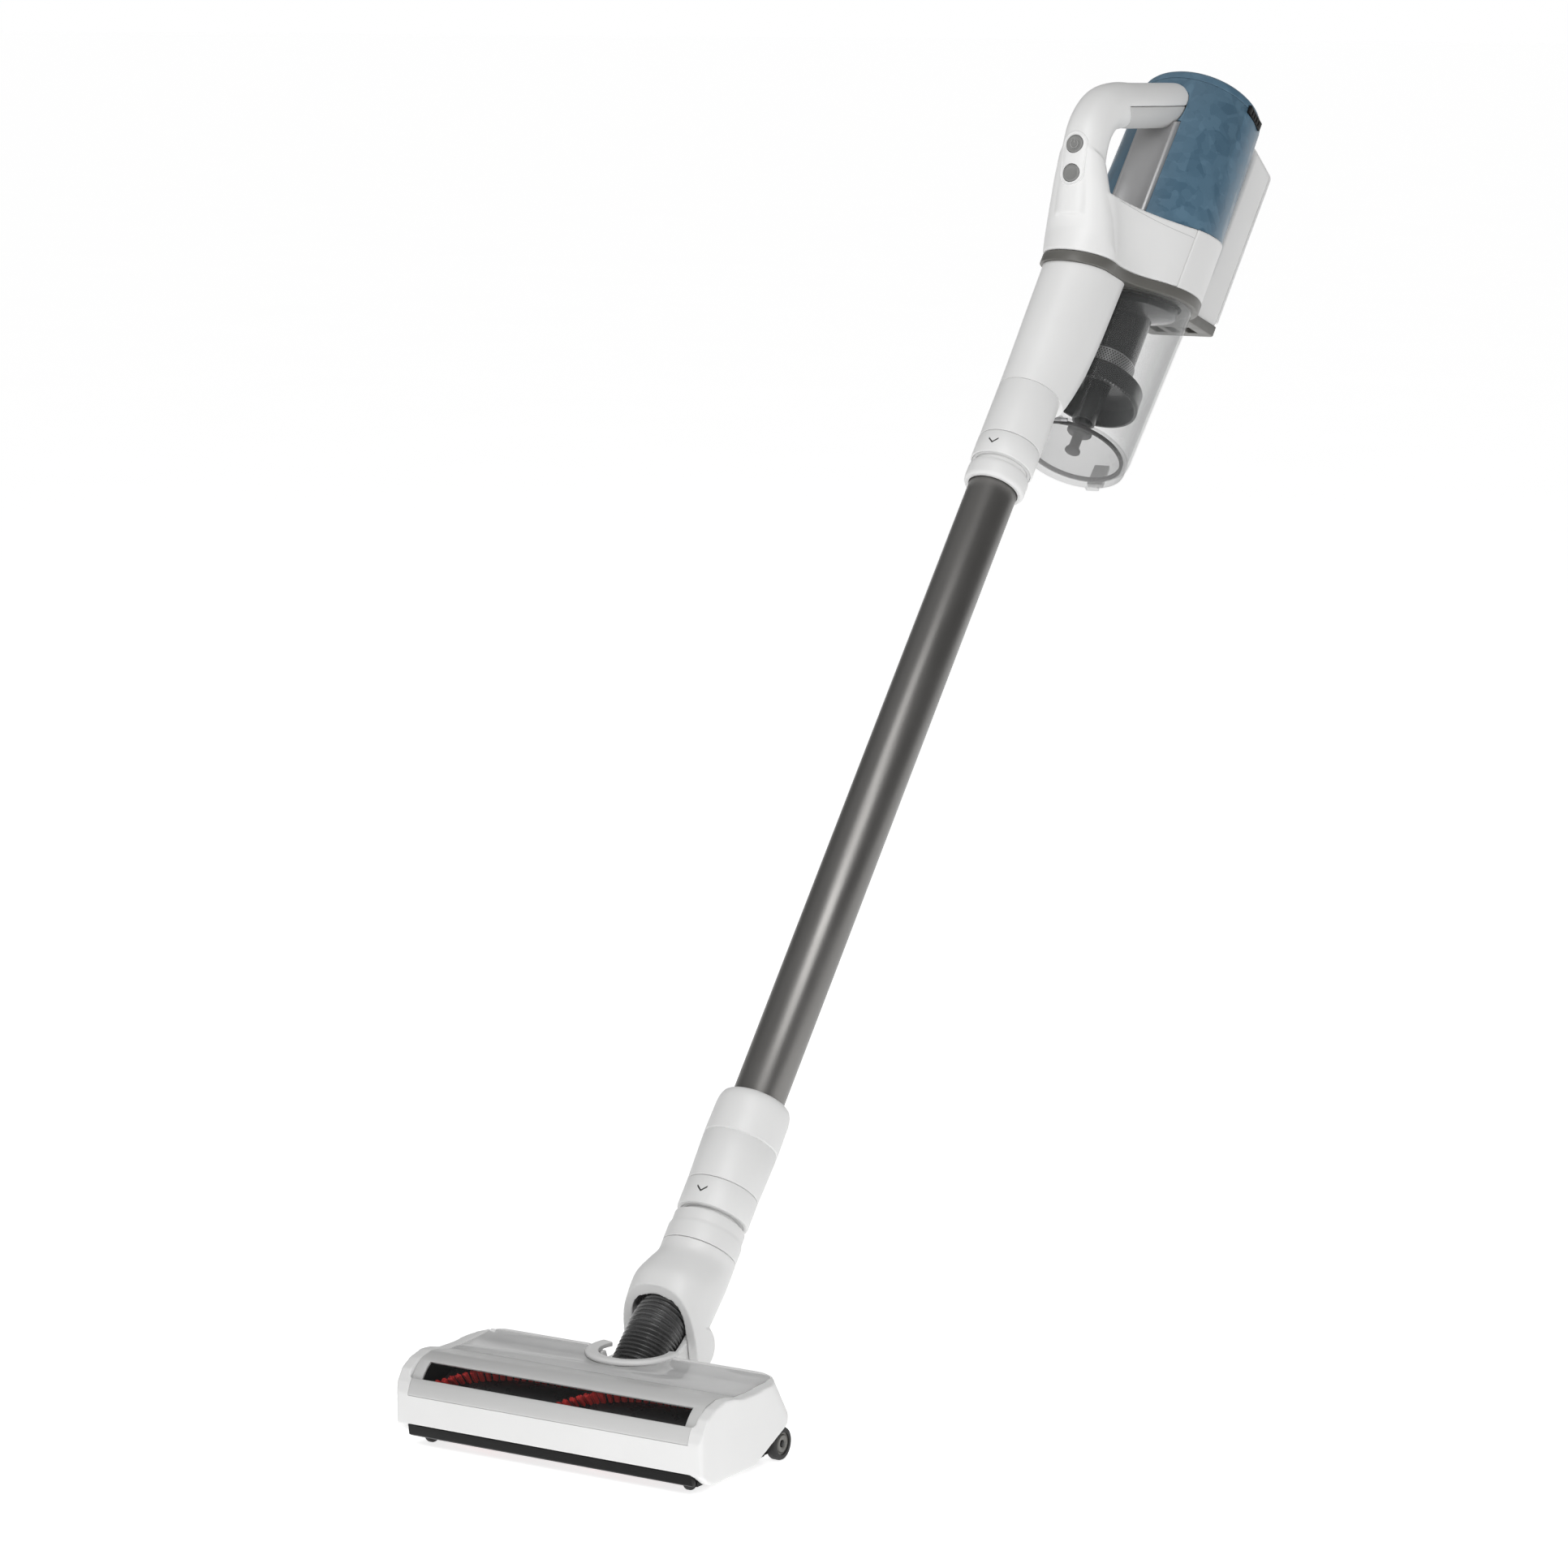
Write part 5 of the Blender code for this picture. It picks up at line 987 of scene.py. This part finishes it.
def egg(half, front, rear, height, middle=0.0, power=2.0, count=128):
    loop = []
    for a, b in circle(1.0, count=count):
        bend = 2.0 / power if b < 0 else 1.0
        reach = (middle - front) if b < 0 else (rear - middle)
        loop.append(Vector((math.copysign(abs(a) ** bend, a) * half,
                            middle + math.copysign(abs(b) ** bend, b) * reach, height)))
    return loop


def build_neck():
    spigot = [(0.015, NECK_LOW), (0.0247, NECK_LOW), (0.025, NECK_LOW + 0.0004), (0.025, 0.1462),
              (0.0247, 0.1474), (0.0242, 0.1488), (0.024, 0.15), (0.024, 0.1556), (0.0238, 0.1561),
              (0.0232, 0.1564), (0.0205, 0.1564), (0.0205, 0.158), (SPIGOT_R, 0.1583),
              (SPIGOT_R, NECK_TOP - 0.001), (SPIGOT_R - 0.0006, NECK_TOP), (0.015, NECK_TOP)]
    done(raw("neck_connector", turned(spigot, closed=True)), WHITE, "neck", "neck_spigot", 35)

    outer = [egg(0.025, -0.025, 0.0252, 0.135), egg(0.025, -0.0256, 0.0254, 0.127),
             egg(0.0262, -0.03, 0.025, 0.117, -0.003, 2.3), egg(0.0274, -0.0346, 0.0238, 0.106, -0.007, 2.5),
             egg(LOBE_OUT, -0.0356, 0.0222, 0.096, -0.008, 2.5),
             egg(LOBE_OUT, -0.0345, 0.0205, 0.086, -0.008, 2.4),
             egg(LOBE_OUT - 0.0001, -0.033, 0.019, 0.072, -0.004, 2.4), egg(0.0268, -0.031, 0.0172, 0.06)]
    spans = zip([outer[0]] + outer, outer, outer[1:], outer[2:] + [outer[-1]])
    smooth = [[between(*points, i / 5) for points in zip(*span)] for span in spans for i in range(5)]
    elbow = raw("elbow_shell", skin(smooth + [outer[-1]]))
    lobes = turned_x([(0.0, -LOBE_OUT), (LOBE_R - 0.0025, -LOBE_OUT), (LOBE_R, 0.0025 - LOBE_OUT),
                      (LOBE_R, LOBE_OUT - 0.0025), (LOBE_R - 0.0025, LOBE_OUT), (0.0, LOBE_OUT)],
                     (PIVOT_V, PIVOT_U))
    join(elbow, lobes)
    mouth = [(-0.035, 0.094), (0.019, 0.049), (-0.08, 0.049), (-0.08, 0.094)]
    cut(elbow, prism_x(mouth, -0.04, 0.04))
    bore = [egg(0.0185, -0.0185, 0.0185, 0.14), egg(0.019, -0.019, 0.019, 0.124),
            egg(0.02, -0.0235, 0.019, 0.112, 0.0, 2.4),
            egg(LOBE_IN - 0.0004, -0.029, 0.0165, 0.098, -0.009, 3.0),
            egg(LOBE_IN - 0.0004, -0.03, 0.016, 0.07, -0.009, 3.0)]
    cut(elbow, skin(bore))
    arch = arc((0.0, 0.07), LOBE_IN, 0, 180, 48) + [(-LOBE_IN, 0.03), (LOBE_IN, 0.03)]
    cut(elbow, skin([[(x, v, u) for x, u in arch] for v in (-0.06, 0.015)]))
    cut(elbow, box(-LOBE_IN, LOBE_IN, 0.0, 0.03, 0.03, 0.0745))
    cut(elbow, rod(EAR_R + 0.0015, -EAR_OUT - GAP, EAR_OUT + GAP, (PIVOT_V, PIVOT_U)))
    melt(elbow, 0.0006, 5)
    for side in (-1, 1):
        cut(elbow, rod(0.0053, side * 0.018, side * 0.0248, (PIVOT_V, PIVOT_U), 48))
    done(elbow, WHITE, "knee", "elbow", 60)
    for name, side in (("left", -1), ("right", 1)):
        pin = turned_x([(0.0, side * 0.0145), (0.0045, side * 0.0145), (0.0048, side * 0.0148),
                        (0.0048, side * 0.0242), (0.0045, side * 0.0245), (0.0, side * 0.0245)],
                       to_head(PIVOT_V, PIVOT_U), 48)
        done(raw("pitch_pin_" + name, pin, HEAD), STEEL, "knee", "pivot_pin_" + name)


def hose_frames(points, steps):
    path = smooth_path(points, steps)
    return [(point, (path[min(i + 1, len(path) - 1)] - path[max(i - 1, 0)]).normalized())
            for i, point in enumerate(path)]


def hose_ring(point, tangent, radius):
    """Circle square to the hose's path."""
    return [(a, point[0] + tangent[1] * b, point[1] - tangent[0] * b) for a, b in circle(radius, count=72)]


def build_hose():
    """Corrugated hose with rounded ribs, on a curved path across the head's pitch joint."""
    frames = hose_frames(HOSE_PATH, 60)
    travelled = 0.0
    outer, inner = [], []
    previous = frames[0][0]
    for point, tangent in frames:
        travelled += (point - previous).length
        previous = point
        wave = 0.5 + 0.5 * math.cos(2 * math.pi * travelled / RIB_PITCH)
        outer.append(hose_ring(point, tangent, HOSE_R - RIB_DEPTH * (1.0 - wave ** 0.7)))
        inner.append(hose_ring(point, tangent, HOSE_R - HOSE_WALL))
    hose = raw("ribbed_hose", skin(outer + list(reversed(inner)), True))
    done(hose, HOSE, None, "neck_hose", 60)
    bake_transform(hose)


# ---------------------------------------------------------------- floor head

def build_head_shell():
    profile = [(-0.089, 0.014), (-0.0896, 0.034), (-0.087, 0.0405), (-0.082, 0.048), (-0.0736, 0.0527),
               (-0.0617, 0.0554), (-0.0532, 0.0547), (-0.0429, 0.0522), (-0.0274, 0.0518), (-0.005, 0.053),
               (0.007, 0.0548), (0.0092, 0.054), (0.0195, 0.029), (0.019, 0.0245), (0.0076, 0.0221),
               (-0.028, 0.0062), (-0.0785, 0.0063)]
    shell = raw("head_housing", prism_x(profile, -HEAD_HALF, HEAD_HALF), HEAD)
    walls = [at_height(rounded_rectangle(-HEAD_HALF, HEAD_HALF, -0.09, rear, 0.004, corner), z)
             for rear, corner, z in ((0.0197, 0.014, 0.0), (0.0197, 0.014, 0.029), (0.0052, 0.025, 0.062))]
    cut(shell, skin(walls), HEAD, operation="INTERSECT")
    inside = [(-0.0852, 0.0385), (-0.083, 0.07), (0.005, 0.07), (0.005, 0.05), (0.014, 0.029),
              (0.014, 0.0268), (0.0076, 0.0246), (-0.015, 0.0145), (-0.015, -0.01), (-0.095, -0.01),
              (-0.095, 0.014), (-0.0852, 0.014)]
    cut(shell, prism_x(inside, -CHEEK_IN, CHEEK_IN), HEAD)
    for side in (-1, 1):
        join(shell, rod(0.0135, side * 0.0995, side * 0.1085, (BRUSH_Y, BRUSH_Z)), HEAD)
    cut(shell, box(-0.0212, 0.0212, -0.008, 0.03, 0.0, 0.07), HEAD)
    cut(shell, turned([(RING_R + 0.0004, 0.0512), (RING_R + 0.0004, 0.07)], (0.0, RING_Y)), HEAD)
    melt(shell, 0.0009, 4)
    recess = [(-0.095, 0.0326), (-0.095, 0.05), (-0.084, 0.045), (-0.084, 0.04), (-0.0884, 0.0326)]
    cut(shell, prism_x(recess, -0.1047, 0.1047), HEAD)
    done(shell, WHITE, "head", "head_shell", 60)


def build_head_base():
    base = raw("base_plate", box(GAP - CHEEK_IN, CHEEK_IN - GAP, -0.0812, -0.0045, 0.0048, 0.0115), HEAD)
    join(base, box(-0.105, 0.105, -0.014, 0.003, 0.0052, 0.0105), HEAD)
    cut(base, box(-0.0931, 0.0931, -0.0795, -0.0365, 0.0, 0.02), HEAD)
    for side in (-1, 1):
        x0, x1 = sorted((side * 0.1015, side * 0.105))
        arm = arc((REAR_WHEEL_Y, REAR_WHEEL_R), 0.0062, -80, 100, 24) + [(-0.01, 0.0112), (-0.01, 0.005)]
        join(base, prism_x(arm, x0, x1), HEAD)
        stub = rod(0.002, side * 0.103, side * 0.1115, (REAR_WHEEL_Y, REAR_WHEEL_R), 32)
        join(base, stub, HEAD)
        cut(base,
            box(*sorted((side * 0.0942, side * 0.1018)), ROLLER_Y - 0.009, ROLLER_Y + 0.008, 0.0, 0.02), HEAD)
    bevel(base, 0.0004, 2)
    done(base, BLACK, "head", "head_base")
    strip = [(-0.0882, 0.0136), (-0.0822, 0.0136), (-0.0822, 0.006), (-0.085, 0.0056), (-0.0872, 0.007)]
    strip = raw("front_strip", prism_x(strip, 2 * GAP - CHEEK_IN, CHEEK_IN - 2 * GAP), HEAD)
    bevel(strip, 0.0004, 3)
    done(strip, BLACK, "head", "bumper_strip")


def polar(radius, degrees):
    """A (y, z) point round the brush axis, degrees from straight up towards the front."""
    angle = math.radians(degrees)
    return (BRUSH_Y - radius * math.sin(angle), BRUSH_Z + radius * math.cos(angle))


def build_head_cover():
    """Grey frame with the window over the brush, and the clear cover over the deck."""
    low, high = 64.5, 26.0
    front = [polar(0.0292, low + (high - low) * i / 16) for i in range(17)]
    back = [polar(0.0274, high + (low - high) * i / 16) for i in range(17)]
    hood = [(-0.0617, 0.0551), (-0.0532, 0.0544), (-0.0429, 0.0519), (-0.04, 0.0518), (-0.04, 0.0498),
            (-0.0429, 0.0499), (-0.0532, 0.0524), (-0.0615, 0.0533)]
    bezel = raw("window_frame", prism_x(front + hood + back, GAP - CHEEK_IN, CHEEK_IN - GAP), HEAD)
    hole = [polar(0.04, 58.5), polar(0.04, 32.0), polar(0.02, 32.0), polar(0.02, 58.5)]
    cut(bezel, prism_x(hole, -0.0985, 0.0985), HEAD)
    bevel(bezel, 0.0003, 2)
    done(bezel, BEZEL, "head", "head_cover", 35)
    pane = [polar(0.0288, 58.2 - 25.9 * i / 12) for i in range(13)]
    pane += [polar(0.0277, 32.3 + 25.9 * i / 12) for i in range(13)]
    done(raw("brush_window", prism_x(pane, -0.0982, 0.0982), HEAD), WINDOW, "head", "head_cover", 35)

    # painted shade: this grey band stands for the white shell's sloped front chamfer below the window, grey
    # where it is turned from the light
    chamfer_shade_band = [(-0.0896, 0.0328), (-0.0896, 0.0341), (-0.0871, 0.0404), (-0.0853, 0.0431), (-0.0853, 0.0414),
            (-0.0884, 0.0328)]
    chamfer_shade_band = raw("front_chamfer_shade_band", prism_x(chamfer_shade_band, -0.1045, 0.1045), HEAD)
    bevel(chamfer_shade_band, 0.0003, 2)
    done(chamfer_shade_band, BEZEL, "head", angle=35)

    top = [(-0.0397, 0.0518), (-0.0274, 0.0515), (-0.016, 0.052), (-0.005, 0.0527), (0.0046, 0.0541),
           (0.0046, 0.0524), (-0.005, 0.051), (-0.016, 0.0503), (-0.0274, 0.0498), (-0.0397, 0.05)]
    cover = raw("deck_cover", prism_x(top, GAP - CHEEK_IN, CHEEK_IN - GAP), HEAD)
    cut(cover, turned([(0.0242, 0.04), (0.0242, 0.07)], (0.0, RING_Y)), HEAD)
    cut(cover, turned([(RING_R + 0.0004, 0.0512), (RING_R + 0.0004, 0.07)], (0.0, RING_Y)), HEAD)
    bevel(cover, 0.0003, 2)
    done(cover, COVER, "head", "head_cover", 35)

    deck = raw("deck", box(0.001 - CHEEK_IN, CHEEK_IN - 0.001, -0.029, 0.004, 0.0455, 0.0467), HEAD)
    cut(deck, turned([(0.0242, 0.04), (0.0242, 0.07)], (0.0, RING_Y)), HEAD)
    bevel(deck, 0.0003, 2)
    done(deck, DECK, "head", "deck_plate")

    ring = [(0.0225, 0.0515), (RING_R - 0.0012, 0.0515), (RING_R, 0.0525), (RING_R, 0.054), (0.0292, 0.0553),
            (0.0225, 0.0546)]
    ring = raw("neck_collar", turned(soft(ring, 0.0009, 4), (0.0, RING_Y), 128, True), HEAD)
    cut(ring, box(-0.05, 0.05, 0.017, 0.06, 0.03, 0.08), HEAD)
    done(ring, WHITE, "head", "neck_ring", 35)


def build_chamber():
    """Black liner and end walls of the brush chamber, seen through the window."""
    rear = [polar(0.0268, -36 - 84 * i / 24) for i in range(25)] + [polar(0.0276, -120 + 84 * i / 24)
                                                                  for i in range(25)]
    liner = raw("chamber_liner", prism_x(rear, -0.0991, 0.0991), HEAD)
    front = [polar(0.027, 66 + 50 * i / 12) for i in range(13)] + [polar(0.0262, 116 - 50 * i / 12)
                                                                   for i in range(13)]
    join(liner, prism_x(front, -0.0991, 0.0991), HEAD)
    for side in (-1, 1):
        x0, x1 = sorted((side * 0.0986, side * 0.0991))
        wall = turned_x([(0.0085, x0), (0.0262, x0), (0.0262, x1), (0.0085, x1)], (BRUSH_Y, BRUSH_Z), 96,
                        True)
        join(liner, wall, HEAD)
    cut(liner, box(-0.1, 0.1, -0.1, 0.0, 0.0, 0.012), HEAD)
    done(liner, BLACK, "head")


def build_yoke():
    pivot = to_head(PIVOT_V, PIVOT_U)
    side_view = [(-0.0034, 0.018), (0.006, 0.02), (0.025, 0.0212), (0.042, 0.03)]
    side_view += arc(pivot, EAR_R, -60, 150, 32)
    side_view += [(0.02, 0.047), (-0.0034, 0.047)]
    yoke = raw("pivot_saddle", prism_x(side_view, -EAR_OUT, EAR_OUT), HEAD)
    points = [(2 * HOSE_PATH[0][0] - HOSE_PATH[1][0], 2 * HOSE_PATH[0][1] - HOSE_PATH[1][1])] + HOSE_PATH
    channel = [hose_ring(point, tangent, HOSE_R + 0.0005) for point, tangent in hose_frames(points, 6)]
    cut(yoke, skin(channel[4:]))
    cut(yoke, box(-0.0165, 0.0165, -0.02, 0.012, 0.0225, 0.04), HEAD)
    cut(yoke, turned_x([(0.0051, -0.04), (0.0051, 0.04)], pivot, 48), HEAD)
    bevel(yoke, 0.0003, 2)
    done(yoke, WHITE, "head", "neck_yoke", 35)
    duct = [[(-0.024, -0.0285, 0.014), (0.024, -0.0285, 0.014), (0.024, -0.0285, 0.036),
             (-0.024, -0.0285, 0.036)],
            [(-0.0175, -0.0038, 0.0205), (0.0175, -0.0038, 0.0205), (0.0175, -0.0038, 0.042),
             (-0.0175, -0.0038, 0.042)]]
    inner = [[(x * 0.92, y, z + (0.001 if i < 2 else -0.0012)) for i,
              (x, y, z) in enumerate(loop)] for loop in duct]
    channel = raw("dust_channel", skin([duct[0], duct[1], inner[1], inner[0]], True), HEAD)
    bevel(channel, 0.0003, 2)
    done(channel, FLANGE, "head", "suction_duct")


def build_brush():
    axis = (BRUSH_Y, BRUSH_Z)
    core = [(0.0, -0.0988), (0.004, -0.0988), (0.004, -0.0982), (0.0095, -0.0982), (0.0095, -0.0944),
            (0.006, -0.094), (0.006, -0.093), (0.016, -0.0925), (0.0165, -0.092), (0.0165, 0.092),
            (0.016, 0.0925), (0.006, 0.093), (0.006, 0.094), (0.004, 0.0942), (0.004, 0.0985), (0.0, 0.0985)]
    done(raw("brush_roll", turned_x(core, axis, 96), HEAD), CORE, "brush", "brush_core", 35)
    random.seed(4)
    for row in range(3):
        bm = bmesh.new()
        tufts = 44
        for k in range(tufts):
            t = (k + 0.5) / tufts
            x = BRUSH_HALF - 0.001 - 2 * (BRUSH_HALF - 0.001) * t
            angle = math.radians(60 + 120 * row - 240 + 240 * t)
            for _ in range(34):
                root_x, root_a = random.uniform(-0.0014, 0.0014), random.uniform(-0.055, 0.055)
                lean_x, lean_a = root_x * random.uniform(0.9, 1.35), root_a * random.uniform(0.9, 1.25)
                tip = BRUSH_R - random.uniform(0.0, 0.0009)
                thick = 0.00026
                ends = []
                for radius, dx, da in ((0.0163, root_x, root_a), (tip, lean_x, lean_a)):
                    a = angle + da
                    middle = Vector((x + dx, BRUSH_Y - radius * math.sin(a), BRUSH_Z + radius * math.cos(a)))
                    across = Vector((0.0, math.cos(a), math.sin(a)))
                    ends.append([bm.verts.new(middle + Vector((thick * cx, 0, 0)) + across * (thick * cy))
                                 for cx, cy in ((-1, -1), (1, -1), (1, 1), (-1, 1))])
                for i in range(4):
                    j = (i + 1) % 4
                    bm.faces.new((ends[0][i], ends[0][j], ends[1][j], ends[1][i]))
                bm.faces.new(ends[1])
                bm.faces.new(ends[0][::-1])
        done(raw(f"bristle_tufts_{row + 1}", bm, HEAD), RED, "brush", f"bristle_row_{row + 1}", 80)


def wheel_rim(inner, radius, x0, x1, drop, ease, run):
    """Section of a wheel between its faces at x0 and x1, with rounded shoulders."""
    side = math.copysign(1.0, x1)
    return [(inner, x0), (radius - drop, x0), (radius - ease, x0 + side * ease), (radius, x0 + side * run),
            (radius, x1 - side * run), (radius - ease, x1 - side * ease), (radius - drop, x1), (inner, x1)]


def build_wheels():
    wheel_at, roller_at = (REAR_WHEEL_Y, REAR_WHEEL_R), (ROLLER_Y, ROLLER_R)
    for name, side in (("left", -1), ("right", 1)):
        x0, x1 = side * 0.1054, side * 0.1118
        tyre = turned_x(wheel_rim(0.0072, REAR_WHEEL_R, x0, x1, 0.0012, 0.0004, 0.0014), wheel_at, 96, True)
        done(raw("wheel_tyre_" + name, tyre, HEAD), RUBBER, "wheel_" + name, "rear_wheel_" + name, 35)
        hub = [(0.0023, x0), (0.00715, x0), (0.00715, x1 - side * 0.001), (0.006, x1 - side * 0.0012),
               (0.0052, x1 - side * 0.0003), (0.0036, x1 - side * 0.0002), (0.0023, x1 - side * 0.0008)]
        hub = raw("wheel_hub_" + name, turned_x(hub, wheel_at, 64, True), HEAD)
        done(hub, FLANGE, "wheel_" + name, angle=35)
        rim = wheel_rim(0.0, ROLLER_R, side * 0.0948, side * 0.0988, 0.001, 0.0003, 0.001)
        roller = raw("nose_roller_" + name, turned_x(rim, roller_at, 72), HEAD)
        done(roller, RUBBER, "roller_" + name, "front_roller_" + name, 35)


def dress_hidden_nodes():
    """Give the inner parts that keep their model shapes a finish of their own."""
    finishes = {"circuit_board": BOARD, "motor_can": STEEL, "impeller": FLANGE, "inlet_filter": FELT,
                "exhaust_filter": FELT, "brush_bearing": STEEL, "brush_motor": STEEL, "motor_pulley": STEEL,
                "drive_belt": RUBBER}
    finishes |= {f"battery_cell_{number}": CELL for number in range(1, 5)}
    for name, material in finishes.items():
        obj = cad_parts[name]
        obj.data.materials.clear()
        obj.data.materials.append(material)


make_camera()
make_studio()
build_front_housing()
build_grip()
build_rear_housing()
build_battery_door()
build_buttons()
build_flange()
build_motor_cover()
build_spine()
build_cap()
build_duct()
build_sleeve("upper_sleeve_ring", "upper_release_sleeve", "upper_sleeve", UPPER_SLEEVE_LOW, UPPER_SLEEVE_HIGH,
             DUCT_R + 0.0001)
build_cup()
build_cyclone_tube()
build_shroud()
build_skirt()
build_lid()
build_lid_latch()
build_tube()
build_sleeve("lower_sleeve_ring", "lower_release_sleeve", "lower_sleeve", SLEEVE_LOW, SLEEVE_HIGH,
             LOW_SLEEVE_R)
build_neck()
build_hose()
build_head_shell()
build_head_base()
build_head_cover()
build_chamber()
build_yoke()
build_brush()
build_wheels()
dress_hidden_nodes()
